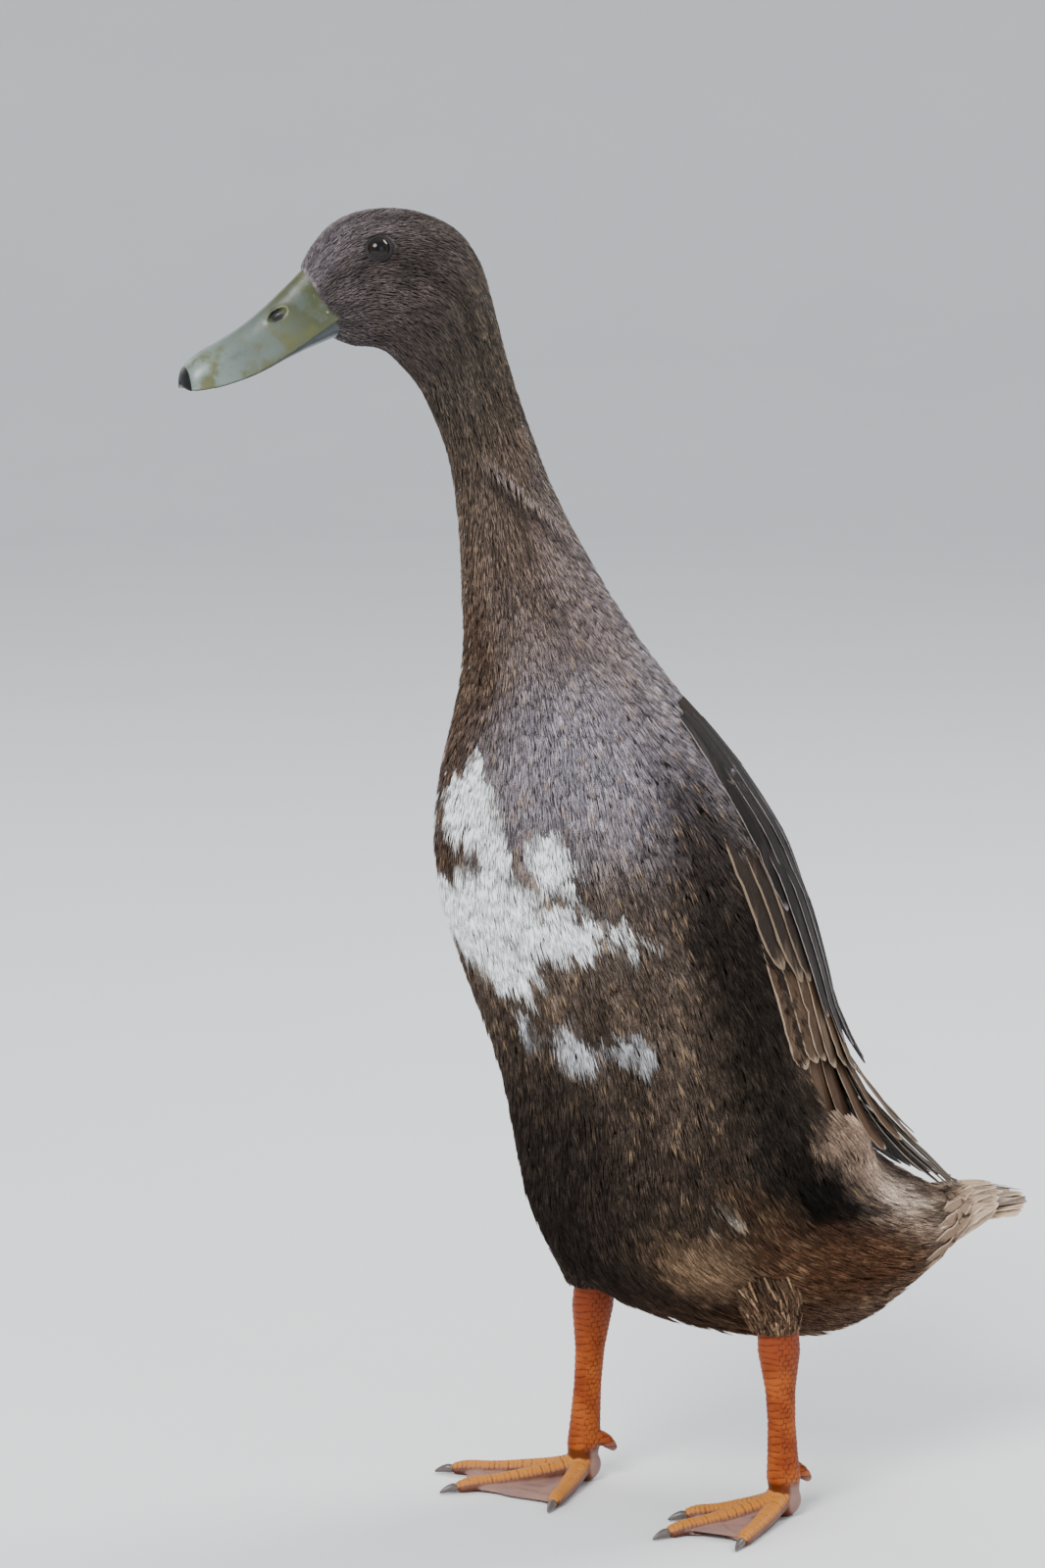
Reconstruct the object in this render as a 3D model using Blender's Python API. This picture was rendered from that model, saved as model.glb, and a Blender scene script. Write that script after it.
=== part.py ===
"""Indian runner duck, standing with one foot ahead: a still, life-size model.

The duck faces +X with its left side at +Y, and its soles rest on z = 0. One table of sections
carries the whole body from the bill's root to the tail; head, neck, torso and tail are lengths of
it, and the wings, thighs, lids and feathers are placed on it by section and by angle."""

import math

import bmesh
import bpy
import numpy as np
from mathutils import Vector

MM = 0.001
GAP = 0.3 * MM
AROUND = 26
SMOOTH_BELOW = math.radians(40)

# Each section, in millimetres: x and z on the back, x and z on the underside, half the width.
SECTIONS = [
    (147, 552.5, 133, 523.5, 9.3),
    (140.5, 563, 124, 520, 12.3),
    (131, 572, 115, 519, 14.8),
    (118, 576.5, 109, 517, 16.5),
    (103, 577, 105, 514, 17.5),
    (89.5, 574, 102, 511, 18),
    (76.5, 567, 98, 507, 18),
    (67, 554, 93, 500.5, 17.3),
    (61.5, 537, 88, 491, 16.6),
    (56.5, 518.5, 83.5, 481, 16.4),
    (50.5, 499.5, 79.5, 469, 17),
    (43.5, 480.5, 76.5, 453, 18),
    (34.5, 458.5, 74.5, 433, 20),
    (22.5, 435.5, 73.5, 412, 23.5),
    (7.5, 410.5, 72.5, 392, 28.5),
    (-9, 386.5, 74, 372, 35.5),
    (-27, 363.5, 78, 353, 43.5),
    (-44.5, 338.5, 83, 330, 51),
    (-59, 312, 85, 304, 57),
    (-71.5, 283.5, 81, 276, 61.5),
    (-81.5, 252.5, 71.5, 248, 64.5),
    (-89, 222, 60.5, 220, 66),
    (-95.5, 195, 51.5, 192, 66),
    (-104, 174, 46, 164, 64.5),
    (-115, 160, 40, 137, 61),
    (-128, 149, 24, 110, 56),
    (-139, 142, -12, 88, 50),
    (-148, 137, -57, 75, 43.5),
    (-155, 133, -96, 72, 37),
    (-161, 131, -124, 87, 29),
    (-167, 131, -144, 102, 23),
    (-180, 131, -169, 114, 19),
    (-199, 127, -197, 121, 11),
]
LAST = len(SECTIONS) - 1
TAIL_ROOT = 30.0

# The lengths that the body is parted into: name, first and last section, step between rings.
LENGTHS = [
    ("head", 0.0, 7.0, 0.5),
    ("neck_upper", 7.0, 11.0, 0.5),
    ("neck_lower", 11.0, 15.0, 0.5),
    ("breast", 15.0, 20.0, 0.5),
    ("belly", 20.0, 26.0, 0.5),
    ("rump", 26.0, TAIL_ROOT, 0.5),
]

MATERIALS = {
    "head_down": ((0.060, 0.045, 0.034), 0.85),
    "neck_down": ((0.110, 0.070, 0.040), 0.85),
    "breast_plumage": ((0.150, 0.105, 0.075), 0.85),
    "belly_plumage": ((0.090, 0.060, 0.042), 0.85),
    "rump_plumage": ((0.200, 0.140, 0.100), 0.85),
    "wing_vanes": ((0.065, 0.048, 0.038), 0.6),
    "tail_vanes": ((0.300, 0.220, 0.150), 0.7),
    "bill_horn": ((0.300, 0.340, 0.250), 0.35),
    "bill_nail": ((0.020, 0.020, 0.022), 0.35),
    "eye": ((0.012, 0.008, 0.006), 0.05),
    "leg_scales": ((0.560, 0.200, 0.050), 0.5),
    "claw_horn": ((0.040, 0.038, 0.040), 0.4),
}

# The bill: x and z of its ridge, x and z of its cutting edge, half its width.
BILL = [
    (145.5, 552.5, 134.0, 531.0, 9.2),
    (155.0, 543.8, 146.0, 523.5, 9.6),
    (164.0, 536.0, 156.0, 517.3, 9.7),
    (174.0, 528.6, 168.0, 511.0, 10.0),
    (183.0, 523.4, 178.5, 507.3, 10.7),
    (190.5, 519.4, 187.5, 505.0, 10.8),
    (196.5, 514.8, 195.5, 503.7, 8.8),
    (200.0, 509.5, 199.6, 504.2, 4.6),
]
MANDIBLE_DEPTHS = [8.5, 4.2, 2.0, 1.0, 0.6, 0.5]
MANDIBLE_INSET = 1.0
PALATE_RISE = 2.4
NAIL_FROM, NAIL_TO = 6.0, 6.9
NOSTRIL_AT, NOSTRIL_SECTION, NOSTRIL_SIDEWAYS = (159.0, 534.0), 1.35, 0.84
NOSTRIL_RADII = (4.0, 3.2, 1.9)
BILL_PITCH = math.radians(33)

EYE = (117.4, 561.4)
EYE_RADIUS = 5.6
EYE_STANDS_OUT = 1.9
LID_HALF_LENGTH, LID_HALF_HEIGHT, LID_THICKNESS = 5.8, 4.9, 0.8
LID_SLOPE = (0.9, 0.0, -0.25)

# Each leg: its hock, its ankle over the toes, and how far each toe reaches from the ankle.
LEGS = {
    "L": {
        "side": 1,
        "hock": (-58, 41, 77),
        "ankle": (-62, 39, 16),
        "toes": {"inner": (46, -9), "middle": (64, 12), "outer": (38, 37)},
    },
    "R": {
        "side": -1,
        "hock": (-4, -40, 84),
        "ankle": (0, -42, 16),
        "toes": {"inner": (31, 37), "middle": (64, -3), "outer": (55, -32)},
    },
}
HOCK_TOP = 5.6
# Along the bare leg, how far down, and its radii fore and aft and across.
SHANK_RADII = [
    (0.00, 9.2, 8.0),
    (0.10, 9.6, 8.2),
    (0.22, 8.4, 7.0),
    (0.38, 6.7, 5.6),
    (0.60, 6.2, 5.2),
    (0.82, 6.8, 5.8),
    (1.00, 7.6, 7.0),
]
# The feathered leg over the hock: rise from it, ahead of it, inwards of it, and radius.
THIGH = [(-4, 0, 0, 9.4), (18, 3, 2, 12.5), (30, 7, 6, 15.5), (42, 10, 12, 18)]
# Along a toe: share of its reach, height of its middle and radius.
TOE = [
    (0.00, 8.4, 5.4),
    (0.20, 5.9, 4.6),
    (0.42, 4.2, 4.5),
    (0.64, 3.4, 3.8),
    (0.84, 3.2, 3.7),
    (0.97, 1.9, 2.3),
]
TOE_JOINT_DROP, TOE_JOINT_RADII = 8.7, (8.4, 7.6, 8.3)
WEB_FROM, WEB_TO, WEB_HOLLOW = 0.1, 0.87, 0.13
WEB_HALF_THICKNESS, WEB_SAG, WEB_LOWEST = 0.9, 0.35, 2.2
# Along the hind toe and along a claw: how far out, how far down, and radius.
HALLUX_ROOT = (-7.5, -3.0, 3.5)
HALLUX = [(0, 0, 3.0), (3.5, 2.75, 2.7), (7, 5.5, 1.8)]
CLAW_ROOT = (0.5, 0.5)
CLAW = [(0, 0, 1.9), (2.4, 0.1, 1.7), (5.0, 0.7, 1.2), (7.0, 1.5, 0.5)]

# The wing's pad under its feathers: section, angles of its back and front edges in degrees, and
# how far it stands off the body.
WING_PAD = [
    (15.7, 24, 34, 0.8),
    (16.2, 14, 44, 2.4),
    (17.0, 8, 52, 4.6),
    (18.0, 6, 59, 6.0),
    (19.0, 6, 62, 6.0),
    (20.0, 6, 62, 5.2),
    (21.0, 6, 61, 4.2),
    (22.0, 7, 57, 3.2),
    (23.0, 8, 50, 2.2),
    (24.0, 9, 40, 1.0),
]
PAD_COLUMNS = 4
PAD_SINKS = 3.0

# Rows of wing feathers, from the innermost out: how many; then for the feather next to the back
# and for the last one in front the angle, the sections of root and tip and the height of the vane
# off the body; the height of the roots, the width, how long the tip tapers, and how far along the
# vane it has risen to its height.
WING_ROWS = {
    "primaries": (4, (10, 21.0, 29.6, 3.4), (24, 21.2, 27.4, 2.0), 0.8, 10.0, 0.55, 0.8),
    "secondaries": (7, (9, 20.9, 25.2, 5.4), (55, 20.9, 22.9, 2.6), 2.0, 14.0, 0.35, 0.42),
    "greater_coverts": (5, (29, 19.3, 21.6, 5.9), (58, 19.2, 20.9, 4.6), 3.5, 15.0, 0.2, 0.42),
    "median_coverts": (3, (43, 17.6, 19.6, 6.9), (58, 17.6, 19.3, 6.2), 3.6, 15.0, 0.2, 0.42),
    "scapulars": (4, (9, 18.0, 22.2, 8.9), (31, 17.9, 21.0, 7.9), 3.8, 16.0, 0.5, 0.42),
    "upper_scapulars": (3, (13, 16.4, 18.7, 8.2), (34, 16.3, 18.4, 7.4), 1.4, 17.5, 0.35, 0.6),
}
# How far the wing's end stands off the hollow of the rump, by section, next to the back, and
# between which angles that fades out.
WING_STANDS = [
    (20.8, 0.0),
    (21.4, 3.6),
    (22.0, 7.8),
    (23.0, 12.0),
    (24.0, 12.8),
    (25.0, 11.4),
    (26.0, 9.0),
    (27.0, 5.6),
    (28.0, 3.2),
    (30.0, 1.0),
]
STAND_FADES = (14, 48)
VANE_THICKNESS = 0.7
VANE_CLEARANCE = 0.35
VANE_CROWN = 0.15
VANE_STATIONS = (0.0, 0.42, 0.84, 1.0)
VANE_ROOT_WIDTH, VANE_TIP_WIDTH = 0.55, 0.3

# The tail coverts on each side, given as the rows of wing feathers are.
TAIL_COVERTS = (6, (15, 29.95, 31.45, 0.4), (165, 29.95, 31.3, 0.4), -1.6, 12.0, 0.5, 0.5)
# The stump inside the tail: section, and how far it lies under the body's outline.
TAIL_STUMP = [(TAIL_ROOT, 0.0), (30.25, 1.8), (30.6, 1.8), (31.0, 2.9), (31.25, 5.4)]
# The tail feathers: how many, root and tip of the middle ones, how far the roots and the tips
# spread to each side, and how much shorter and lower the outer ones are.
TAIL_FEATHERS = (8, (-158, 0, 123), (-199.5, 0, 125.5), 9, 14, 9, 4.5)
TAIL_FEATHER_WIDTH, TAIL_FEATHER_TAPER = 11.0, 0.5
TAIL_FEATHER_SLOPE = 0.3


def clear_scene():
    for obj in list(bpy.data.objects):
        bpy.data.objects.remove(obj, do_unlink=True)


def make_materials():
    for name, (colour, roughness) in MATERIALS.items():
        material = bpy.data.materials.new(name)
        material.use_nodes = True
        shader = material.node_tree.nodes["Principled BSDF"]
        shader.inputs["Base Color"].default_value = (*colour, 1.0)
        shader.inputs["Roughness"].default_value = roughness
        shader.inputs["Metallic"].default_value = 0.0


def smooth_row(table, t):
    """The row of a table at t, by a Catmull-Rom curve through its rows."""
    last = len(table) - 1
    t = min(max(t, 0.0), float(last))
    i = min(int(t), last - 1)
    f = t - i
    rows = [np.array(table[min(max(k, 0), last)], float) for k in (i - 1, i, i + 1, i + 2)]
    a, b, c, d = rows
    return 0.5 * (2 * b + (c - a) * f + (2 * a - 5 * b + 4 * c - d) * f**2 + (3 * b - a - 3 * c + d) * f**3)


def ring_frame(t):
    """Centre, half of the back-to-underside vector, and half-width of a section, in metres."""
    xd, zd, xv, zv, half = smooth_row(SECTIONS, t) * MM
    centre = np.array([(xd + xv) / 2, 0.0, (zd + zv) / 2])
    up = np.array([(xd - xv) / 2, 0.0, (zd - zv) / 2])
    return centre, up, half


def skin_point(t, angle):
    centre, up, half = ring_frame(t)
    return centre + up * math.cos(angle) + np.array([0.0, half * math.sin(angle), 0.0])


def outward(t, angle):
    """Unit normal of the body at a section and an angle, 0 on the back and + to the left."""
    e = 0.02
    along = skin_point(min(t + e, LAST), angle) - skin_point(max(t - e, 0.0), angle)
    across = skin_point(t, angle + e) - skin_point(t, angle - e)
    n = np.cross(across, along)
    n /= np.linalg.norm(n)
    centre = ring_frame(t)[0]
    return n if n @ (skin_point(t, angle) - centre) > 0 else -n


def body_point(t, angle, lift=0.0):
    point = skin_point(t, angle)
    return point + outward(t, angle) * lift if lift else point


def finish_mesh(name, bm, material=None):
    bmesh.ops.recalc_face_normals(bm, faces=bm.faces)
    mesh = bpy.data.meshes.new(name)
    bm.to_mesh(mesh)
    bm.free()
    mesh.shade_smooth()
    mesh.set_sharp_from_angle(angle=SMOOTH_BELOW)
    obj = bpy.data.objects.new(name, mesh)
    bpy.context.scene.collection.objects.link(obj)
    if material:
        mesh.materials.append(bpy.data.materials[material])
    return obj


def loft(name, rings, material=None):
    """A closed body through rings of the same number of points, with a fan over each end."""
    bm = bmesh.new()
    loops = [[bm.verts.new(point) for point in ring] for ring in rings]
    count = len(loops[0])
    for near, far in zip(loops, loops[1:]):
        for k in range(count):
            after = (k + 1) % count
            bm.faces.new((near[k], near[after], far[after]))
            bm.faces.new((near[k], far[after], far[k]))
    for loop in (loops[0], loops[-1]):
        centre = bm.verts.new(sum((v.co for v in loop), Vector()) / count)
        for k in range(count):
            bm.faces.new((loop[k], loop[(k + 1) % count], centre))
    return finish_mesh(name, bm, material)


def sheet(name, top, low, material=None):
    """A closed slab between two grids of points, split into triangles alike on both faces."""
    bm = bmesh.new()
    top = [[bm.verts.new(p) for p in row] for row in top]
    low = [[bm.verts.new(p) for p in row] for row in low]
    rows, columns = len(top), len(top[0])
    for grid in (top, low):
        for i in range(rows - 1):
            for j in range(columns - 1):
                bm.faces.new((grid[i][j], grid[i + 1][j], grid[i + 1][j + 1]))
                bm.faces.new((grid[i][j], grid[i + 1][j + 1], grid[i][j + 1]))
    rim = [(i, 0) for i in range(rows)] + [(rows - 1, j) for j in range(1, columns)]
    rim += [(i, columns - 1) for i in range(rows - 2, -1, -1)] + [(0, j) for j in range(columns - 2, 0, -1)]
    for (i, j), (k, m) in zip(rim, rim[1:] + rim[:1]):
        bm.faces.new((top[i][j], top[k][m], low[k][m]))
        bm.faces.new((top[i][j], low[k][m], low[i][j]))
    return finish_mesh(name, bm, material)


def steps(first, last, step):
    return np.linspace(first, last, int(round((last - first) / step)) + 1)


def body_length(name, first, last, step, material=None, lift=0.0, shrink=GAP / 2):
    """A length of the body, each end drawn in by half the gap that parts it from the next."""
    rings = []
    for t in steps(first, last, step):
        angles = np.linspace(0, 2 * math.pi, AROUND, endpoint=False)
        ring = [body_point(t, a, lift) for a in angles]
        if t in (first, last):
            up = ring_frame(t)[1]
            tailward = np.cross([0.0, 1.0, 0.0], up)
            tailward /= np.linalg.norm(tailward)
            inward = ring_frame((first + last) / 2)[0] - ring_frame(t)[0]
            tailward *= shrink * math.copysign(1.0, tailward @ inward)
            ring = [p + tailward for p in ring]
        rings.append(ring)
    return loft(name, rings, material)


def boolean(obj, other, operation):
    modifier = obj.modifiers.new(operation.lower(), "BOOLEAN")
    modifier.operation = operation
    modifier.solver = "EXACT"
    modifier.object = other
    apply_modifiers(obj)


def apply_modifiers(obj):
    graph = bpy.context.evaluated_depsgraph_get()
    mesh = bpy.data.meshes.new_from_object(obj.evaluated_get(graph))
    obj.modifiers.clear()
    old = obj.data
    obj.data = mesh
    bpy.data.meshes.remove(old)


def keep_largest(obj):
    """Leaves the largest closed surface of the mesh, and drops scraps and sealed hollows."""
    bm = bmesh.new()
    bm.from_mesh(obj.data)
    bmesh.ops.triangulate(bm, faces=bm.faces)
    left = set(bm.faces)
    islands = []
    while left:
        stack = [left.pop()]
        island = []
        while stack:
            face = stack.pop()
            island.append(face)
            for edge in face.edges:
                for other in edge.link_faces:
                    if other in left:
                        left.remove(other)
                        stack.append(other)
        islands.append(island)
    sizes = [abs(sum(f.verts[0].co.dot(f.verts[1].co.cross(f.verts[2].co)) for f in i)) for i in islands]
    if not islands:
        raise ValueError(obj.name + " has nothing left after its cuts")
    best = islands[sizes.index(max(sizes))]
    for island in islands:
        if island is not best:
            bmesh.ops.delete(bm, geom=island, context="FACES")
    bmesh.ops.delete(bm, geom=[v for v in bm.verts if not v.link_faces], context="VERTS")
    bm.to_mesh(obj.data)
    bm.free()
    obj.data.shade_smooth()
    obj.data.set_sharp_from_angle(angle=SMOOTH_BELOW)


def fuse(name, pieces, material, cutters=()):
    """Joins pieces into one node, cuts the cutters from it, and keeps the largest surface."""
    base, *others = pieces
    base.name = name
    base.data.materials.clear()
    base.data.materials.append(bpy.data.materials[material])
    if others:
        group = bpy.data.collections.new(name + "_pieces")
        bpy.context.scene.collection.children.link(group)
        for piece in others:
            group.objects.link(piece)
        modifier = base.modifiers.new("union", "BOOLEAN")
        modifier.operation = "UNION"
        modifier.operand_type = "COLLECTION"
        modifier.collection = group
        modifier.solver = "EXACT"
        apply_modifiers(base)
        for piece in others:
            bpy.data.objects.remove(piece, do_unlink=True)
        bpy.data.collections.remove(group)
    for cutter in cutters:
        boolean(base, cutter, "DIFFERENCE")
    keep_largest(base)
    return base


def ellipsoid(name, centre, radii, axis_x=(1, 0, 0), axis_y=(0, 1, 0), segments=16, rings=8, material=None):
    x = Vector(axis_x).normalized()
    z = x.cross(Vector(axis_y)).normalized()
    y = z.cross(x)
    bm = bmesh.new()
    bmesh.ops.create_uvsphere(bm, u_segments=segments, v_segments=rings, radius=1.0)
    for v in bm.verts:
        v.co = Vector(centre) + x * v.co.x * radii[0] + y * v.co.y * radii[1] + z * v.co.z * radii[2]
    bmesh.ops.triangulate(bm, faces=bm.faces)
    return finish_mesh(name, bm, material)


def tube(name, points, radii, material=None, sides=8):
    """A closed tube along points, all in millimetres."""
    rings = []
    points = [np.array(p, float) for p in points]
    run = points[-1] - points[0]
    steady = [1.0, 0.0, 0.0] if abs(run[2]) > 0.7 * np.linalg.norm(run) else [0.0, 0.0, 1.0]
    for i, p in enumerate(points):
        ahead = points[min(i + 1, len(points) - 1)] - points[max(i - 1, 0)]
        ahead /= np.linalg.norm(ahead)
        side = np.cross(steady, ahead)
        side /= np.linalg.norm(side)
        rise = np.cross(ahead, side)
        ring = []
        for k in range(sides):
            a = 2 * math.pi * k / sides
            ring.append((p + (side * math.cos(a) + rise * math.sin(a)) * radii[i]) * MM)
        rings.append(ring)
    return loft(name, rings, material)


def body():
    colours = {
        "head": "head_down",
        "neck_upper": "neck_down",
        "neck_lower": "neck_down",
        "breast": "breast_plumage",
        "belly": "belly_plumage",
        "rump": "rump_plumage",
    }
    return {name: body_length(name, a, b, s, colours[name]) for name, a, b, s in LENGTHS}


def body_section_at(x, z):
    """The section and angle of the left side where the body is seen at x and z, in millimetres."""
    best = None
    for t in np.linspace(0, LAST, 321):
        centre, up, _ = ring_frame(t)
        offset = np.array([x * MM, 0.0, z * MM]) - centre
        length = np.linalg.norm(up)
        along = offset @ up / length
        miss = np.linalg.norm(offset - up / length * along)
        if abs(along) <= length and (best is None or miss < best[0]):
            best = (miss, t, math.acos(along / length))
    return best[1], best[2]


def eyes(head):
    t, angle = body_section_at(*EYE)
    for side, suffix in ((1, "L"), (-1, "R")):
        out = outward(t, side * angle)
        surface = body_point(t, side * angle)
        centre = surface - out * (EYE_RADIUS - EYE_STANDS_OUT) * MM
        radius = EYE_RADIUS * MM
        ellipsoid("eye_" + suffix, centre, (radius,) * 3, axis_x=out, material="eye")
        lid = eyelid(surface, out)
        socket = ellipsoid("socket", centre, (radius + GAP,) * 3, axis_x=out)
        fuse("head", [head, lid], "head_down", [socket])
        bpy.data.objects.remove(socket, do_unlink=True)


def eyelid(surface, out):
    """The ring of the lids round the eye: a rounded welt, a little longer than it is high."""
    out = Vector(out)
    ahead = Vector(LID_SLOPE)
    ahead = (ahead - out * ahead.dot(out)).normalized()
    rise = ahead.cross(out).normalized()
    thickness = LID_THICKNESS * MM
    bm = bmesh.new()
    loops = []
    around, sides = 20, 5
    for k in range(around):
        a = 2 * math.pi * k / around
        radial = ahead * math.cos(a) * LID_HALF_LENGTH + rise * math.sin(a) * LID_HALF_HEIGHT
        centre = Vector(surface) + radial * MM
        radial.normalize()
        loop = []
        for j in range(sides):
            b = 2 * math.pi * j / sides
            loop.append(bm.verts.new(centre + (radial * math.cos(b) + out * math.sin(b)) * thickness))
        loops.append(loop)
    for near, far in zip(loops, loops[1:] + loops[:1]):
        for j in range(sides):
            bm.faces.new((near[j], near[(j + 1) % sides], far[(j + 1) % sides], far[j]))
    bmesh.ops.triangulate(bm, faces=bm.faces)
    return finish_mesh("lid", bm)


def bill_frame(s):
    xr, zr, xe, ze, half = smooth_row(BILL, s) * MM
    edge = np.array([xe, 0.0, ze])
    rise = np.array([xr - xe, 0.0, zr - ze])
    return edge, rise, half


def bill_upper_ring(s, count=17):
    """Dome over the bill, then the palate back under it, which leaves a rim on each side."""
    edge, rise, half = bill_frame(s)
    height = np.linalg.norm(rise)
    up = rise / height
    peak = 1.25 - 0.45 * s / (len(BILL) - 1)
    ring = []
    for k in range(count):
        a = math.pi * k / (count - 1)
        y = half * math.cos(a)
        ring.append(edge + up * height * math.sin(a) ** peak + np.array([0, y, 0]))
    palate = PALATE_RISE * MM * min(1.0, (len(BILL) - 1 - s) / 1.5)
    for k in range(1, 8):
        u = -1 + 2 * k / 8
        ring.append(edge + up * palate * (1 - u * u) + np.array([0, half * u, 0]))
    return ring


def bill_lower_ring(s, count=10):
    edge, up, half = bill_frame(s)
    up = up / np.linalg.norm(up)
    depth = float(np.interp(s, range(len(MANDIBLE_DEPTHS)), MANDIBLE_DEPTHS)) * MM
    half_lower = half - MANDIBLE_INSET * MM
    ring = []
    for k in range(count):
        u = -1 + 2 * k / (count - 1)
        wide = u * half_lower / half
        rise = PALATE_RISE * MM * (1 - wide**2) - GAP * 1.4
        ring.append(edge + up * rise + np.array([0, half_lower * u, 0]))
    for k in range(1, count - 1):
        a = math.pi * k / (count - 1)
        ring.append(edge - up * (depth * math.sin(a) + GAP) + np.array([0, half_lower * math.cos(a), 0]))
    return ring


def nostrils():
    """Long oval pits, slanted with the bill, one on each side."""
    ahead = (math.cos(BILL_PITCH), 0, -math.sin(BILL_PITCH))
    half = bill_frame(NOSTRIL_SECTION)[2]
    radii = [radius * MM for radius in NOSTRIL_RADII]
    found = []
    for side in (1, -1):
        centre = (NOSTRIL_AT[0] * MM, side * half * NOSTRIL_SIDEWAYS, NOSTRIL_AT[1] * MM)
        found.append(ellipsoid("nostril", centre, radii, axis_x=ahead, segments=12))
    return found


def bill(clear_of_head):
    upper = loft("bill_upper", [bill_upper_ring(s) for s in steps(0, NAIL_FROM - 0.02, 0.5)])
    cuts = nostrils()
    fuse("bill_upper", [upper], "bill_horn", [clear_of_head, *cuts])
    for cut in cuts:
        bpy.data.objects.remove(cut, do_unlink=True)
    loft("bill_nail", [bill_upper_ring(s) for s in steps(NAIL_FROM + 0.04, NAIL_TO, 0.29)], "bill_nail")
    last = len(MANDIBLE_DEPTHS) - 1
    lower = loft("bill_lower", [bill_lower_ring(s) for s in steps(0, last, 0.5)])
    fuse("bill_lower", [lower], "bill_horn", [clear_of_head])


def wing_pad(side):
    """The wing's own bulk, thin at its rims, from which its feathers grow."""
    outer, inner = [], []
    for u in steps(0, len(WING_PAD) - 1, 1.0):
        t, back, front, thick = smooth_row(WING_PAD, u)
        row_out, row_in = [], []
        for k in range(PAD_COLUMNS + 1):
            f = k / PAD_COLUMNS
            angle = side * math.radians(back + (front - back) * f)
            lift = thick * (1 - 0.5 * f**4) * (0.6 + 0.4 * min(1.0, f * 5)) * MM
            row_out.append(body_point(t, angle, lift))
            row_in.append(body_point(t, angle, -PAD_SINKS * MM))
        outer.append(row_out)
        inner.append(row_in)
    return sheet("pad", outer, inner)


def vane_width(f, point):
    """Width along a vane as a share of its full width; point is how long its tip tapers."""
    root = min(1.0, VANE_ROOT_WIDTH + 1.5 * f)
    tip = 1.0 - (1.0 - VANE_TIP_WIDTH) * max(0.0, (f - (1 - point)) / point) ** 1.6
    return root * tip


def wing_stands(t, angle):
    """How far the wing's end stands off the body there."""
    keys, heights = zip(*WING_STANDS)
    first, last = STAND_FADES
    f = min(1.0, max(0.0, (abs(math.degrees(angle)) - first) / (last - first)))
    return float(np.interp(t, keys, heights)) * (1 - f * f * (3 - 2 * f))


def wing_vane(side, angle, root, tip, lifts, width, point, rises_by, slope):
    """One feather lying along the body, its back edge tucked under the feather behind it."""
    top, low = [], []
    for f in VANE_STATIONS:
        t = root + (tip - root) * f
        lift = lifts[0] + (lifts[1] - lifts[0]) * min(1.0, f / rises_by)
        half = width / 2 * vane_width(f, point)
        across = np.linalg.norm(skin_point(t, angle + 0.02) - skin_point(t, angle - 0.02)) / 0.04 / MM
        row_top, row_low = [], []
        for edge in (-1, 0, 1):
            a = side * (angle + edge * half / across)
            height = lift + slope * edge * half + (0.0 if edge else VANE_CROWN) + wing_stands(t, a)
            row_top.append(body_point(t, a, (height + VANE_THICKNESS / 2) * MM))
            row_low.append(body_point(t, a, (height - VANE_THICKNESS / 2) * MM))
        top.append(row_top)
        low.append(row_low)
    return sheet("vane", top, low)


def wing_row(side, count, first, last, root_lift, width, point, rises_by):
    """The vanes of one row, sloped so that each lies just over the one in front of it."""
    first, last = np.array(first, float), np.array(last, float)
    middle = (first + last) / 2
    spacing = math.radians(last[0] - first[0]) / (count - 1) * ring_frame((middle[1] + middle[2]) / 2)[2] / MM
    drop = (first[3] - last[3]) / (count - 1)
    slope = max(0.0, VANE_THICKNESS + VANE_CLEARANCE - drop) / spacing
    vanes = []
    for k in range(count):
        angle, root, tip, lift = first + (last - first) * k / (count - 1)
        lifts = (root_lift, lift)
        vanes.append(wing_vane(side, math.radians(angle), root, tip, lifts, width, point, rises_by, slope))
    return vanes


def wing(suffix, side, clear_of_body):
    pieces = [wing_pad(side)]
    for row in WING_ROWS.values():
        pieces += wing_row(side, *row)
    fuse("wing_" + suffix, pieces, "wing_vanes", [clear_of_body])


def tail_feathers(count, root, tip, root_spread, tip_spread, shorter, lower):
    """A low roof of feathers, the middle one on top and the outer ones shorter and lower."""
    vanes = []
    for k in range(count):
        g = 2 * k / (count - 1) - 1
        start = np.array(root, float) + [0, g * root_spread, -lower * abs(g)]
        end = np.array(tip, float) + [shorter * g * g, g * tip_spread, -lower * abs(g) * 1.3]
        top, low = [], []
        for f in VANE_STATIONS:
            centre = start + (end - start) * f
            half = TAIL_FEATHER_WIDTH / 2 * vane_width(f, TAIL_FEATHER_TAPER)
            row_top, row_low = [], []
            for edge in (-1, 0, 1):
                rise = -TAIL_FEATHER_SLOPE * g * edge * half + (0.0 if edge else VANE_CROWN)
                p = centre + [0, edge * half, rise]
                row_top.append((p + [0, 0, VANE_THICKNESS / 2]) * MM)
                row_low.append((p - [0, 0, VANE_THICKNESS / 2]) * MM)
            top.append(row_top)
            low.append(row_low)
        vanes.append(sheet("vane", top, low))
    return vanes


def tail(clear_of_torso):
    """The stump that the tail's feathers grow from, with its feathers and their coverts."""
    stump = []
    for t, sink in TAIL_STUMP:
        angles = np.linspace(0, 2 * math.pi, 16, endpoint=False)
        stump.append([body_point(t, a, -sink * MM) for a in angles])
    pieces = [loft("stump", stump)]
    for side in (1, -1):
        pieces += wing_row(side, *TAIL_COVERTS)
    pieces += tail_feathers(*TAIL_FEATHERS)
    fuse("tail", pieces, "tail_vanes", [clear_of_torso])


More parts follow.
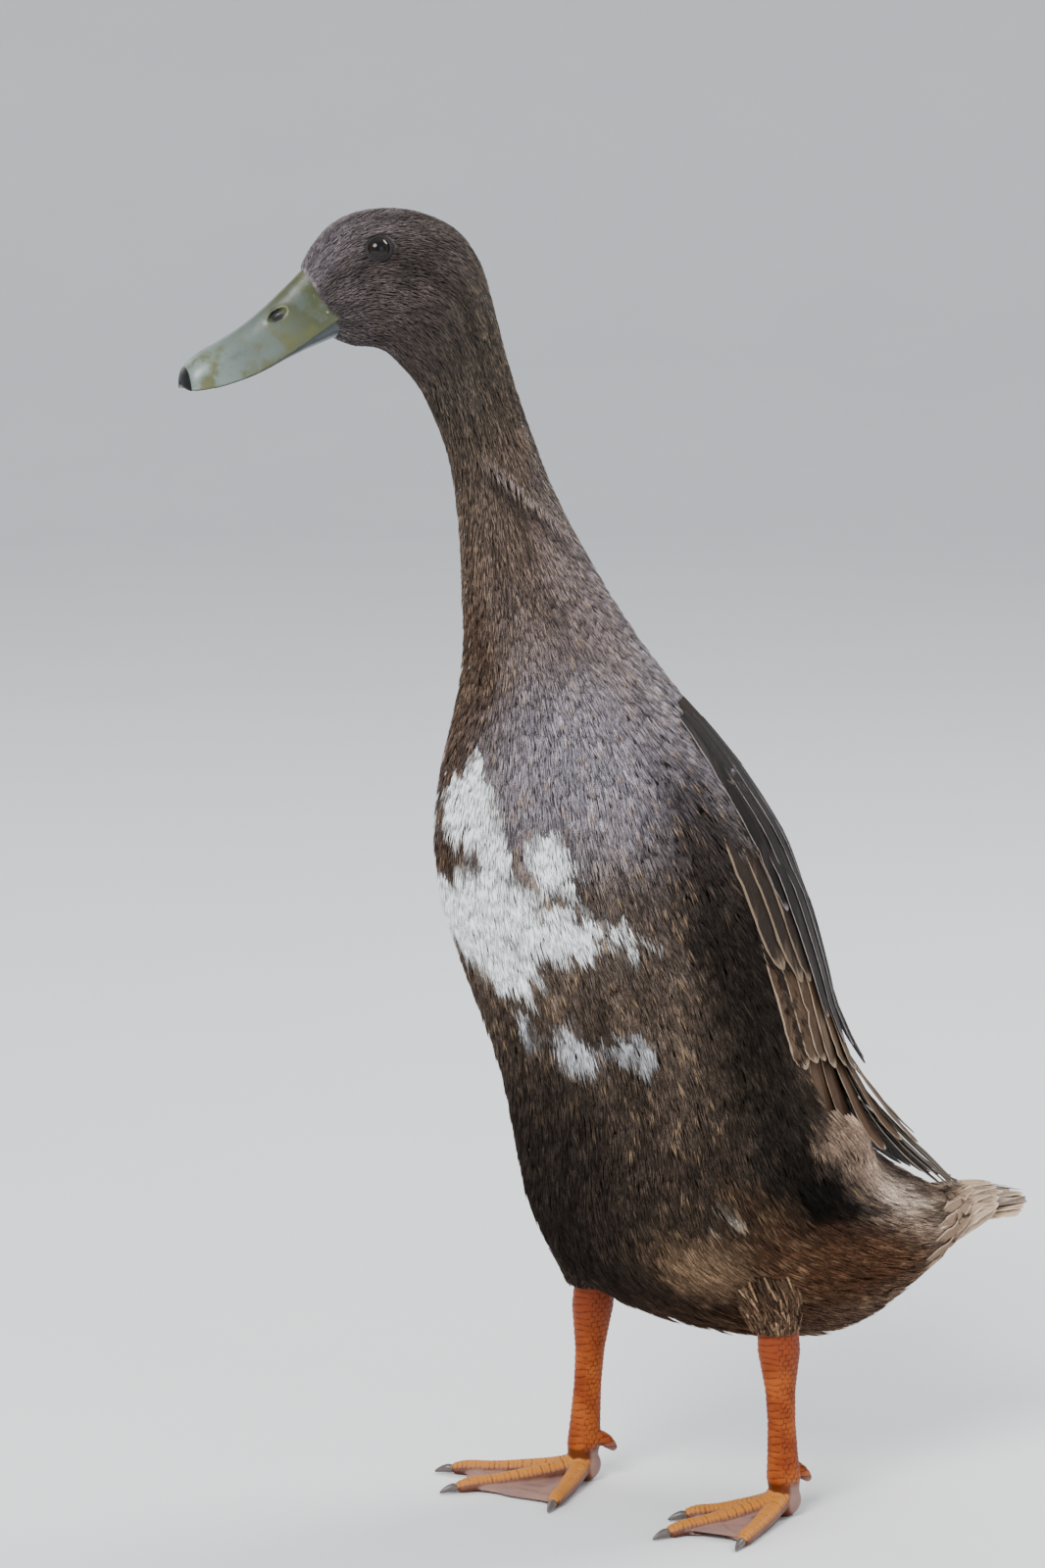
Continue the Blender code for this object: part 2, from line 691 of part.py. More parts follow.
def thigh(suffix, leg, clear_of_body):
    """The feathered leg between the belly and the hock."""
    hock = np.array(leg["hock"], float)
    points = [hock + [ahead, -inwards * leg["side"], rise] for rise, ahead, inwards, _ in THIGH]
    cone = tube("thigh", points, [row[3] for row in THIGH], sides=18)
    seat = (hock[2] + HOCK_TOP) * MM + GAP
    under = box("under", (-0.3, -0.3, 0.0), (0.3, 0.3, seat))
    fuse("thigh_" + suffix, [cone], "belly_plumage", [under, clear_of_body])
    bpy.data.objects.remove(under, do_unlink=True)


def shank_rings(leg, more=0.0):
    """The bare leg from the hock to the toes' joint; more widens it for a clearance."""
    hock = np.array(leg["hock"], float) + [0, 0, HOCK_TOP]
    ankle = np.array(leg["ankle"], float) + [0, 0, 1.0]
    rings = []
    for f, deep, wide in SHANK_RADII:
        centre = (hock + (ankle - hock) * f) * MM
        ring = []
        for k in range(18):
            a = 2 * math.pi * k / 18
            across = np.array([(deep + more) * math.cos(a), (wide + more) * math.sin(a), 0])
            ring.append(centre + across * MM)
        rings.append(ring)
    return rings


def shank(suffix, leg, clear_of_body):
    leg_tube = loft("shank_" + suffix, shank_rings(leg), "leg_scales")
    fuse("shank_" + suffix, [leg_tube], "leg_scales", [clear_of_body])


def toe_path(ankle, reach):
    """The joints of a toe, from over the ankle's print out to its tip."""
    start = np.array([ankle[0], ankle[1], 0.0])
    reach = np.array([*reach, 0.0])
    return [start + reach * share + [0, 0, height] for share, height, _ in TOE]


def foot(suffix, leg, floor_cutter):
    ankle = np.array(leg["ankle"], float)
    radii = [radius * MM for radius in TOE_JOINT_RADII]
    joint = ellipsoid("joint", (ankle - [0, 0, TOE_JOINT_DROP]) * MM, radii, segments=14)
    paths = {name: toe_path(ankle, reach) for name, reach in leg["toes"].items()}
    pieces = [tube("toe_" + name, path, [row[2] for row in TOE]) for name, path in paths.items()]
    for first, second in (("inner", "middle"), ("middle", "outer")):
        pieces.append(web(paths[first], paths[second]))
    fuse("foot_" + suffix, [joint, *pieces], "leg_scales", [floor_cutter])
    for name, path in paths.items():
        claw(f"claw_{name}_{suffix}", path[-1], path[-1] - path[-2])


def hallux(suffix, leg):
    """The small hind toe, set high on the back of the bare leg."""
    root = np.array(leg["ankle"], float) + np.array(HALLUX_ROOT) * [1, leg["side"], 1]
    points = [root - [out, 0, down] for out, down, _ in HALLUX]
    toe = tube("hallux", points, [row[2] for row in HALLUX])
    clear_of_shank = loft("clear_of_shank", shank_rings(leg, GAP / MM))
    fuse("hallux_" + suffix, [toe], "leg_scales", [clear_of_shank])
    bpy.data.objects.remove(clear_of_shank, do_unlink=True)


def web(first, second):
    """The skin between two toes: a thin sheet, hollowed a little at its front edge."""
    top, low = [], []
    columns = 4
    heel = path_point(first, 0.0)
    for f in np.linspace(WEB_FROM, WEB_TO, 4):
        a = path_point(first, f)
        b = path_point(second, f)
        row_top, row_low = [], []
        for k in range(columns + 1):
            droop = math.sin(math.pi * k / columns)
            p = a + (b - a) * k / columns
            p = p + (heel - p) * [1, 1, 0] * WEB_HOLLOW * droop * f
            middle = max(WEB_LOWEST, p[2] * (1 - WEB_SAG * droop) - 0.4)
            row_top.append(np.array([p[0], p[1], middle + WEB_HALF_THICKNESS]) * MM)
            row_low.append(np.array([p[0], p[1], middle - WEB_HALF_THICKNESS]) * MM)
        top.append(row_top)
        low.append(row_low)
    return sheet("web", top, low)


def path_point(path, f):
    f = f * (len(path) - 1)
    i = min(int(f), len(path) - 2)
    return path[i] + (path[i + 1] - path[i]) * (f - i)


def claw(name, tip, ahead):
    ahead = np.array(ahead, float) * [1, 1, 0]
    ahead /= np.linalg.norm(ahead)
    start = tip + ahead * CLAW_ROOT[0] + [0, 0, CLAW_ROOT[1]]
    points = [start + ahead * out - [0, 0, down] for out, down, _ in CLAW]
    tube(name, points, [row[2] for row in CLAW], "claw_horn", sides=7)


def box(name, low, high):
    bm = bmesh.new()
    bmesh.ops.create_cube(bm, size=1.0)
    for v in bm.verts:
        v.co = Vector([(high[i] if v.co[i] > 0 else low[i]) for i in range(3)])
    return finish_mesh(name, bm)


def main():
    clear_scene()
    make_materials()
    parts = body()
    clear = body_length("clear", 0.0, TAIL_ROOT, 0.5, None, lift=GAP, shrink=-GAP / 2)
    eyes(parts["head"])
    bill(clear)
    for suffix, leg in LEGS.items():
        wing(suffix, leg["side"], clear)
        thigh(suffix, leg, clear)
        shank(suffix, leg, clear)
    tail(clear)
    below = box("below", (-0.3, -0.3, -0.1), (0.3, 0.3, 0.0))
    for suffix, leg in LEGS.items():
        foot(suffix, leg, below)
        hallux(suffix, leg)
    for helper in (clear, below):
        bpy.data.objects.remove(helper, do_unlink=True)


main()
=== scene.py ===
"""Dresses the solids of a standing runner duck: skin, feather coat, wings, tail, bill, eyes and legs.

The body's skin and coat are placed by section and by angle, as the solids are: a section is a place
along the duck from the bill's root (0) to the tail's end (32), and an angle goes round it from the
back (0) over the left side (90) to the breast (180). Lengths are in metres, as in the frame."""

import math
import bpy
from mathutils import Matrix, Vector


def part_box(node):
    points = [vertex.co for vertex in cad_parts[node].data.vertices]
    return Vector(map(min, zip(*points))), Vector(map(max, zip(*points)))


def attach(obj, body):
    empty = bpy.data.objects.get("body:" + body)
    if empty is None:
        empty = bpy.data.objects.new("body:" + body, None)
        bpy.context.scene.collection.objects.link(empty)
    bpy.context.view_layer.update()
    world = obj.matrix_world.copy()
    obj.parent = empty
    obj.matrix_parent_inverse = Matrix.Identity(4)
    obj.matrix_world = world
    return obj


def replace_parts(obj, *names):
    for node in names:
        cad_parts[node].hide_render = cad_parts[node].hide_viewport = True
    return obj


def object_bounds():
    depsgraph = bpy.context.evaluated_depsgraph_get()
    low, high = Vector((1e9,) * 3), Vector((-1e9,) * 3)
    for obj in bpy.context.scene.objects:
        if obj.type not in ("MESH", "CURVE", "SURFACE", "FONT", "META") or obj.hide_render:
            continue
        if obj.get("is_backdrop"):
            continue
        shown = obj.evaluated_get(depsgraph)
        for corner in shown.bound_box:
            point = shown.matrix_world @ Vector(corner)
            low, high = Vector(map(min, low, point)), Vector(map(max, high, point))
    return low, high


bl_info = {
    "name": "Runner duck",
    "version": (1, 0, 0),
    "blender": (4, 5, 0),
    "location": "View3D > Sidebar > Duck",
    "description": "Skin, plumage, bill, eyes and legs around the solids of a standing runner duck",
    "category": "Object",
}

import bmesh
import bpy
import numpy as np
from bpy.props import FloatProperty, FloatVectorProperty, IntProperty, PointerProperty
from mathutils import Vector
from mathutils.kdtree import KDTree

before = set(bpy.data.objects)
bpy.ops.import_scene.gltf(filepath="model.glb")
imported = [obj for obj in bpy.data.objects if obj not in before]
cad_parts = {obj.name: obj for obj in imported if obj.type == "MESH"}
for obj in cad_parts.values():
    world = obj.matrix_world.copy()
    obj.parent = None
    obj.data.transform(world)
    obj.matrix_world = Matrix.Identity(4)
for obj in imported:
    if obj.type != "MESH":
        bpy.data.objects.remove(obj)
SOLIDS_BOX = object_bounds()

MM = 0.001
SIDES = {"L": 1, "R": -1}

# Each section of the body: x and z on the back, x and z on the underside, half the width.
SECTIONS = np.array([
    (147, 552.5, 133, 523.5, 9.3),
    (140.5, 563, 124, 520, 12.3),
    (131, 572, 115, 519, 14.8),
    (118, 576.5, 109, 517, 16.5),
    (103, 577, 105, 514, 17.5),
    (89.5, 574, 102, 511, 18),
    (76.5, 567, 98, 507, 18),
    (67, 554, 93, 500.5, 17.3),
    (61.5, 537, 88, 491, 16.6),
    (56.5, 518.5, 83.5, 481, 16.4),
    (50.5, 499.5, 79.5, 469, 17),
    (43.5, 480.5, 76.5, 453, 18),
    (34.5, 458.5, 74.5, 433, 20),
    (22.5, 435.5, 73.5, 412, 23.5),
    (7.5, 410.5, 72.5, 392, 28.5),
    (-9, 386.5, 74, 372, 35.5),
    (-27, 363.5, 78, 353, 43.5),
    (-44.5, 338.5, 83, 330, 51),
    (-59, 312, 85, 304, 57),
    (-71.5, 283.5, 81, 276, 61.5),
    (-81.5, 252.5, 71.5, 248, 64.5),
    (-89, 222, 60.5, 220, 66),
    (-95.5, 195, 51.5, 192, 66),
    (-104, 174, 46, 164, 64.5),
    (-115, 160, 40, 137, 61),
    (-128, 149, 24, 110, 56),
    (-139, 142, -12, 88, 50),
    (-148, 137, -57, 75, 43.5),
    (-155, 133, -96, 72, 37),
    (-161, 131, -124, 87, 29),
    (-167, 131, -144, 102, 23),
    (-180, 131, -169, 114, 19),
    (-199, 127, -197, 121, 11),
]) * MM
LAST = len(SECTIONS) - 1

# The coat: section, depth of the skin under the outline, spacing of the feathers, length and width
# of a feather, width of a strand, in millimetres, and the strands of a feather.
COAT = [
    (0.0, 0.9, 0.88, 3.2, 0, 0.42, 1),
    (2.0, 1.6, 1.00, 4.6, 0, 0.48, 1),
    (6.0, 2.0, 1.12, 6.0, 0, 0.55, 1),
    (9.0, 2.4, 1.30, 7.5, 0, 0.62, 1),
    (12.8, 3.0, 1.60, 9.0, 0, 0.70, 1),
    (13.0, 3.0, 2.50, 9.5, 2.6, 0.56, 5),
    (15.0, 3.6, 3.10, 11.5, 3.8, 0.58, 8),
    (17.0, 4.2, 3.50, 13.5, 4.6, 0.62, 9),
    (20.0, 5.0, 3.80, 15.5, 5.2, 0.66, 10),
    (23.0, 5.6, 3.90, 17.0, 5.4, 0.70, 10),
    (27.0, 6.0, 4.10, 19.0, 5.4, 0.74, 10),
    (30.0, 5.0, 3.90, 15.0, 5.0, 0.80, 9),
    (32.0, 3.0, 3.60, 12.0, 4.6, 0.80, 8),
]
# Lengths of the coat, each one mesh: first and last section, material and material slot.
COAT_LENGTHS = {
    "head_feathers": (0.03, 6.0, "Head feathers", "head_down"),
    "nape_feathers": (6.0, 10.5, "Neck feathers", "neck_down"),
    "neck_feathers": (10.5, 13.0, "Neck feathers", "neck_down"),
    "neck_root_feathers": (13.0, 15.4, "Body feathers", "neck_down"),
    "breast_feathers": (15.4, 17.6, "Body feathers", "breast_plumage"),
    "chest_feathers": (17.6, 20.2, "Body feathers", "breast_plumage"),
    "side_feathers": (20.2, 22.8, "Body feathers", "belly_plumage"),
    "belly_feathers": (22.8, 25.6, "Body feathers", "belly_plumage"),
    "vent_feathers": (25.6, 27.6, "Body feathers", "rump_plumage"),
    "rump_feathers": (27.6, 29.3, "Body feathers", "rump_plumage"),
}
# Where the folded wing hides the body, so that nothing grows there: section, first and last angle.
WING_COVERS = [
    (16.4, 16, 30), (17.3, 10, 36), (18.8, 8, 47), (20.0, 8, 54),
    (21.4, 8, 58), (22.0, 8, 54), (22.5, 8, 36), (23.0, 16, 26),
]


def curve_rows(table, t):
    """The rows of a table at each t, by a Catmull-Rom curve through them."""
    last = len(table) - 1
    t = np.clip(np.asarray(t, float), 0.0, last)
    i = np.minimum(t.astype(int), last - 1)
    f = (t - i)[..., None]
    a, b, c, d = (table[np.clip(i + k, 0, last)] for k in (-1, 0, 1, 2))
    return 0.5 * (2 * b + (c - a) * f + (2 * a - 5 * b + 4 * c - d) * f**2 + (3 * b - a - 3 * c + d) * f**3)


def read_rows(rows, t):
    """Each column of rows but the first, read between the rows where the first column is t."""
    rows = np.array(rows, float)
    return [np.interp(t, rows[:, 0], rows[:, k]) for k in range(1, rows.shape[1])]


def outline_point(t, angle):
    """The point of the body's outline at a section and an angle."""
    row = curve_rows(SECTIONS, t)
    up, down = row[..., 0:2], row[..., 2:4]
    middle, half = (up + down) / 2, (up - down) / 2
    c, s = np.cos(angle), np.sin(angle)
    x = middle[..., 0] + half[..., 0] * c
    z = middle[..., 1] + half[..., 1] * c
    return np.stack([x, row[..., 4] * s, z], -1)


def unit(vectors):
    """The vectors at length 1."""
    return vectors / np.maximum(np.linalg.norm(vectors, axis=-1, keepdims=True), 1e-12)


def body_frame(t, angle):
    """Points of the outline, the outward normal, the way to the tail, metres a section and a radian."""
    t, angle = np.broadcast_arrays(np.asarray(t, float), np.asarray(angle, float))
    e = 0.03
    t = np.clip(t, 0.0, LAST)
    before, after = np.clip(t - e, 0, LAST), np.clip(t + e, 0, LAST)
    along = (outline_point(after, angle) - outline_point(before, angle)) / (after - before)[..., None]
    across = outline_point(t, angle + e) - outline_point(t, angle - e)
    normal = unit(np.cross(along, across))
    point = outline_point(t, angle)
    row = curve_rows(SECTIONS, t)
    middle = np.stack([(row[..., 0] + row[..., 2]) / 2, 0 * t, (row[..., 1] + row[..., 3]) / 2], -1)
    normal *= np.sign(np.sum(normal * (point - middle), -1, keepdims=True) + 1e-12)
    pace = np.maximum(np.linalg.norm(along, axis=-1), 1e-4)
    return point, normal, unit(along), pace, np.linalg.norm(across, axis=-1) / (2 * e)


def gauss(x, width):
    """A bell curve: 1 at 0, and under 0.4 from a width away on."""
    return np.exp(-((x / width) ** 2))


def degrees_off_back(angle):
    """How far round from the back a place is, 0 to 180 degrees on either side."""
    return np.abs(np.degrees(np.arctan2(np.sin(angle), np.cos(angle))))


# The crease down each side of the neck: section where it starts, the angle there, how many degrees
# it turns towards the back and how many sections it runs meanwhile.
NECK_CREASE = (10.5, 114, 61, 1.85)


def relief(t, angle):
    """How far the coat stands out from the smooth outline, in metres: the crease, brow and cheek."""
    degrees = degrees_off_back(angle)
    start, start_angle, turn, run = NECK_CREASE
    behind = t - (start + (start_angle - degrees) / turn * run)
    fold = 1.5 * gauss(behind, 0.16) - 1.9 * gauss(behind - 0.42, 0.24)
    beside = gauss(degrees - 85, 38)
    brow = 0.5 * gauss(t - 3.1, 0.9) * gauss(degrees - 52, 9)
    cheek = 0.7 * gauss(t - 4.4, 1.2) * gauss(degrees - 112, 22)
    return (fold * beside + brow + cheek) * MM


def smoothstep(x, low, high):
    """0 up to low, 1 from high on, and a smooth rise between."""
    f = np.clip((x - low) / (high - low), 0.0, 1.0)
    return f * f * (3 - 2 * f)


def wing_bulk(t, angle):
    """How far the feathers are pushed out over the front of the folded wing, and full on the rump."""
    degrees = degrees_off_back(angle)
    along = smoothstep(t, 16.0, 17.6) * (1 - smoothstep(t, 22.2, 24.6))
    over_wing = 6.0 * along * (1 - smoothstep(degrees, 56, 84))
    over_rump = 8.0 * gauss(t - 23.5, 1.0) * gauss(degrees - 42, 15)
    return (over_wing + over_rump) * MM


def on_body(t, angle, lift):
    """Points a lift above the body's outline, with its folds."""
    point, normal, _, _, _ = body_frame(t, angle)
    return point + normal * (np.asarray(lift) + relief(t, angle))[..., None]


def out_and_back(u):
    """Round a thin slab: whether a share of the way round is on its upper side, and how far across."""
    k = u * 2
    return k <= 1, np.where(k <= 1, k, 2 - k)


def linked(name, data):
    """A new object in the scene."""
    obj = bpy.data.objects.new(name, data)
    bpy.context.scene.collection.objects.link(obj)
    return obj


def mesh_of(bm, name):
    """The bmesh as a mesh, and the bmesh freed."""
    mesh = bpy.data.meshes.new(name)
    bm.to_mesh(mesh)
    bm.free()
    return mesh


def new_object(name, mesh, material, slot):
    """A piece of the model: it rides on the one body. Its slot is not used."""
    obj = linked(name, mesh)
    mesh.materials.append(bpy.data.materials[material])
    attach(obj, "root")
    return obj


def grid_surface(columns, rows, place):
    """A bmesh grid whose points place(u, v) sets, closed where its edges meet or at its ends."""
    bm = bmesh.new()
    bmesh.ops.create_grid(bm, x_segments=columns, y_segments=rows, size=0.5)
    flat = np.array([v.co[:2] for v in bm.verts]) + 0.5
    for vert, point in zip(bm.verts, place(flat[:, 0], flat[:, 1])):
        vert.co = point
    bmesh.ops.remove_doubles(bm, verts=bm.verts, dist=1e-6)
    open_edges = [edge for edge in bm.edges if edge.is_boundary]
    bmesh.ops.holes_fill(bm, edges=open_edges, sides=0)
    bmesh.ops.recalc_face_normals(bm, faces=bm.faces)
    return bm


def finished(bm, name, material, slot):
    """A smooth piece from a bmesh, its many-sided end faces cut into triangles."""
    bmesh.ops.triangulate(bm, faces=[f for f in bm.faces if len(f.verts) > 4])
    mesh = mesh_of(bm, name)
    mesh.shade_smooth()
    return new_object(name, mesh, material, slot)


def add_vectors(mesh, name, values):
    """A vector for each point of a mesh, for its material to read."""
    attribute = mesh.attributes.new(name, "FLOAT_VECTOR", "POINT")
    attribute.data.foreach_set("vector", np.asarray(values, np.float32).ravel())


def place_of(t, angle):
    """What the markings read: the section as a share of the body, and the angle's sine and cosine."""
    return np.stack([np.asarray(t) / LAST, np.sin(angle), np.cos(angle)], -1)


def joined_mesh(name, points, faces, place, strand, uv):
    """One mesh from arrays: points, triangles, the two vectors its material reads, and OFBake."""
    mesh = bpy.data.meshes.new(name)
    mesh.vertices.add(len(points))
    mesh.vertices.foreach_set("co", points.astype(np.float32).ravel())
    mesh.loops.add(faces.size)
    mesh.loops.foreach_set("vertex_index", faces.astype(np.int32).ravel())
    mesh.polygons.add(len(faces))
    mesh.polygons.foreach_set("loop_start", np.arange(0, faces.size, 3, dtype=np.int32))
    mesh.update(calc_edges=True)
    mesh.validate()
    add_vectors(mesh, "place", place)
    add_vectors(mesh, "strand", strand)
    layer = mesh.uv_layers.new(name="OFBake")
    layer.data.foreach_set("uv", uv[faces.ravel()].astype(np.float32).ravel())
    mesh.shade_smooth()
    return mesh


UV_MARGIN, UV_SPAN, UV_PATCH = 0.004, 0.99, 0.003


def patch_uv(t, angle, ahead, aside):
    """A small patch at the root's place on the body unrolled: angle across, section up."""
    turn = np.arctan2(np.sin(angle), np.cos(angle)) / (2 * math.pi) + 0.5
    u = UV_MARGIN + UV_SPAN * turn + UV_PATCH * aside
    v = UV_MARGIN + UV_SPAN * np.asarray(t) / LAST + UV_PATCH * ahead
    return np.stack([u, v], -1)


# A strand's cross sections as shares of its length, in the short coat and in a tuft, its width at
# each of them but the tip, by how many there are, and its height as a share of half its width.
STRAND_SHARES = np.array([0.0, 0.38, 0.78, 1.0])
BARB_SHARES = np.array([0.36, 0.74, 1.0])
STRAND_WIDTHS = {3: np.array([0.65, 1.0, 0.72]), 2: np.array([0.80, 1.0])}
STRAND_CROWN = 0.75


def strand_mesh(centre, normal, width):
    """Closed three-sided strands along centre lines of a few points, the last one the tip."""
    count, stations = centre.shape[0], centre.shape[1] - 1
    ahead = unit(np.gradient(centre, axis=1))
    aside = unit(np.cross(normal, ahead))
    half = (width[:, None] / 2 * STRAND_WIDTHS[stations])[..., None]
    body = centre[:, :-1]
    crown = body + normal[:, :-1] * half * STRAND_CROWN
    ring = np.stack([body - aside[:, :-1] * half, body + aside[:, :-1] * half, crown], 2)
    corners = 3 * stations + 1
    points = np.concatenate([ring.reshape(count, corners - 1, 3), centre[:, -1:]], 1)
    faces = [(0, 2, 1)]
    for k in range(0, corners - 4, 3):
        for i in range(3):
            j = (i + 1) % 3
            faces += [(k + i, k + j, k + 3 + j), (k + i, k + 3 + j, k + 3 + i)]
    last = corners - 4
    faces += [(last + i, last + (i + 1) % 3, corners - 1) for i in range(3)]
    faces = np.array(faces)[None] + corners * np.arange(count)[:, None, None]
    return points.reshape(-1, 3), faces.reshape(-1, 3)


def strand_values(shares, pick, feather_pick):
    """For every corner: how far along its strand, the strand's and the feather's pick; and how far aside."""
    corners = 3 * len(shares) - 2
    count = len(pick)
    along = np.tile(np.append(np.repeat(shares[:-1], 3), 1.0), (count, 1))
    aside = np.append(np.tile([-0.5, 0.5, 0.0], len(shares) - 1), 0.0)
    wide = np.ones((1, corners))
    values = np.stack([along, pick[:, None] * wide, feather_pick[:, None] * wide], -1)
    return values.reshape(-1, 3), along, np.tile(aside, (count, 1))


def body_strand_lines(t, angle, length, depth, rise, fan, sway, shares):
    """Centre lines that rise from under the skin and follow the body towards the tail."""
    pace, round_pace = body_frame(t, angle)[3:]
    shares = shares[None, :]
    side = (fan[:, None] * shares**0.8 + sway[:, None] * shares**2) * length[:, None]
    st = t[:, None] + length[:, None] * shares / pace[:, None]
    sa = angle[:, None] + side / np.maximum(round_pace, 4 * MM)[:, None]
    settle = np.clip(shares / STRAND_SHARES[1], 0, 1)
    lift = (-depth[:, None] - 0.5 * MM) * (1 - settle) + rise[:, None] * settle * (0.55 + 0.45 * shares)
    lift = lift - depth[:, None] * 0.45 * settle * (1 - shares)
    centre, normal, tailward, _, _ = body_frame(st, sa)
    past = np.maximum(st - LAST, 0.0) * pace[:, None]
    centre = centre + tailward * past[..., None]
    return centre + normal * (lift + relief(st, sa) + wing_bulk(st, sa))[..., None], normal


def covered(t, angle):
    """True where the folded wing lies over the body, so that no feather is needed there."""
    first, last = read_rows(WING_COVERS, t)
    degrees = degrees_off_back(angle)
    return (t > WING_COVERS[0][0]) & (t < WING_COVERS[-1][0]) & (degrees > first) & (degrees < last)


def roots_on_body(first, last, rng):
    """Sections and angles of feather roots, spread evenly by area and set a little at random."""
    found_t, found_a = [], []
    t = first
    angles = np.linspace(-math.pi, math.pi, 361)
    while t < last:
        spacing = read_rows(COAT, t)[1] * MM
        pace, round_pace = body_frame(np.full(len(angles), t), angles)[3:]
        step = min(spacing / np.mean(pace), last - t)
        area = np.concatenate([[0.0], np.cumsum((pace * round_pace)[:-1] * np.diff(angles))]) * step
        count = max(int(round(area[-1] / spacing**2)), 1)
        shares = (np.arange(count) + rng.uniform(0, 1) + rng.uniform(-0.38, 0.38, count)) / count
        found_a.append(np.interp((shares % 1.0) * area[-1], area, angles))
        found_t.append(t + step * rng.uniform(0.0, 1.0, count))
        t += step
    t, angle = np.concatenate(found_t), np.concatenate(found_a)
    keep = ~covered(t, angle)
    return t[keep], angle[keep]


def node_group(name, inputs, outputs):
    """An empty node group. Its inputs are type, name and default, its outputs type and name."""
    group = bpy.data.node_groups.new(name, "ShaderNodeTree")
    for kind, label, value in inputs:
        socket = group.interface.new_socket(name=label, in_out="INPUT", socket_type=kind)
        if value is not None:
            socket.default_value = value
    for kind, label in outputs:
        group.interface.new_socket(name=label, in_out="OUTPUT", socket_type=kind)
    return group


class Graph:
    """Short ways to add and link nodes of one tree."""

    def __init__(self, tree):
        self.tree = tree

    def node(self, kind, inputs=(), **settings):
        node = self.tree.nodes.new(kind)
        for key, value in settings.items():
            setattr(node, key, value)
        for key, value in dict(inputs).items():
            self.feed(node, key, value)
        return node

    def feed(self, node, key, value):
        socket = node.inputs[key]
        if isinstance(value, bpy.types.NodeSocket):
            self.tree.links.new(value, socket)
        elif socket.type == "RGBA" and len(value) == 3:
            socket.default_value = (*value, 1.0)
        else:
            socket.default_value = value

    def math(self, operation, a, b=0.0, c=0.0, clamp=False):
        node = self.node("ShaderNodeMath", {0: a, 1: b, 2: c}, operation=operation, use_clamp=clamp)
        return node.outputs[0]

    def product(self, *factors):
        total = factors[0]
        for factor in factors[1:]:
            total = self.math("MULTIPLY", total, factor)
        return total

    def rest(self, share):
        return self.math("SUBTRACT", 1.0, share)

    def vector(self, operation, a, b=(0, 0, 0)):
        return self.node("ShaderNodeVectorMath", {0: a, 1: b}, operation=operation).outputs[0]

    def length(self, a):
        return self.node("ShaderNodeVectorMath", {0: a}, operation="LENGTH").outputs["Value"]

    def join(self, x, y, z):
        return self.node("ShaderNodeCombineXYZ", {0: x, 1: y, 2: z}).outputs[0]

    def smooth(self, value, low, high, to_low=0.0, to_high=1.0):
        inputs = {"Value": value, "From Min": low, "From Max": high, "To Min": to_low, "To Max": to_high}
        return self.node("ShaderNodeMapRange", inputs, interpolation_type="SMOOTHSTEP").outputs[0]

    def mix(self, factor, a, b, blend="MIX"):
        node = self.node("ShaderNodeMix", data_type="RGBA", blend_type=blend)
        self.feed(node, 0, factor)
        self.feed(node, 6, a)
        self.feed(node, 7, b)
        return node.outputs[2]

    def paint(self, base, *layers):
        """The base with each layer's colour mixed over it by its mask."""
        for mask, colour in layers:
            base = self.mix(mask, base, colour)
        return base

    def shade(self, colour, share):
        """The colour times a share, which may pass 1."""
        return self.mix(1.0, colour, self.join(share, share, share), "MULTIPLY")

    def noise(self, vector, scale, detail=2.0, roughness=0.5):
        inputs = {"Vector": vector, "Scale": scale, "Detail": detail, "Roughness": roughness}
        return self.node("ShaderNodeTexNoise", inputs).outputs

    def attribute(self, name):
        return self.node("ShaderNodeAttribute", attribute_name=name).outputs["Vector"]

    def split(self, vector):
        return self.node("ShaderNodeSeparateXYZ", {0: vector}).outputs

    def ramp(self, factor, stops):
        node = self.node("ShaderNodeValToRGB", {"Fac": factor})
        elements = node.color_ramp.elements
        elements.remove(elements[1])
        elements[0].position = stops[0][0]
        elements[0].color = (*stops[0][1], 1.0)
        for position, colour in stops[1:]:
            elements.new(position).color = (*colour, 1.0)
        return node.outputs["Color"]

    def bump(self, height, strength, distance):
        inputs = {"Strength": strength, "Distance": distance, "Height": height}
        return self.node("ShaderNodeBump", inputs).outputs["Normal"]


# The plumage's ground colours: section, colour on the flanks and breast, colour along the back.
# They hold painted light: the pale mauve rows at the shoulders (15 to 17) are a painted sheen of the
# sky, and along the back the crown and the rump are lighter in part as painted light from above.
GROUND = [
    (0.0, (0.085, 0.070, 0.072), (0.185, 0.155, 0.172)),
    (2.0, (0.084, 0.067, 0.064), (0.135, 0.112, 0.117)),
    (4.5, (0.070, 0.053, 0.047), (0.090, 0.072, 0.066)),
    (7.5, (0.056, 0.045, 0.036), (0.085, 0.070, 0.060)),
    (10.0, (0.078, 0.057, 0.043), (0.095, 0.074, 0.060)),
    (12.5, (0.140, 0.098, 0.076), (0.170, 0.138, 0.125)),
    (15.0, (0.270, 0.215, 0.205), (0.290, 0.262, 0.275)),
    (17.0, (0.260, 0.222, 0.232), (0.210, 0.188, 0.198)),
    (18.3, (0.150, 0.116, 0.098), (0.110, 0.092, 0.086)),
    (20.0, (0.115, 0.084, 0.064), (0.075, 0.058, 0.048)),
    (22.5, (0.078, 0.056, 0.042), (0.060, 0.046, 0.038)),
    (24.5, (0.056, 0.038, 0.027), (0.300, 0.225, 0.190)),
    (26.5, (0.090, 0.048, 0.028), (0.500, 0.365, 0.270)),
    (29.0, (0.180, 0.125, 0.095), (0.420, 0.330, 0.265)),
    (32.0, (0.260, 0.200, 0.165), (0.460, 0.370, 0.310)),
]

GREY_WHITE = (0.66, 0.67, 0.70)
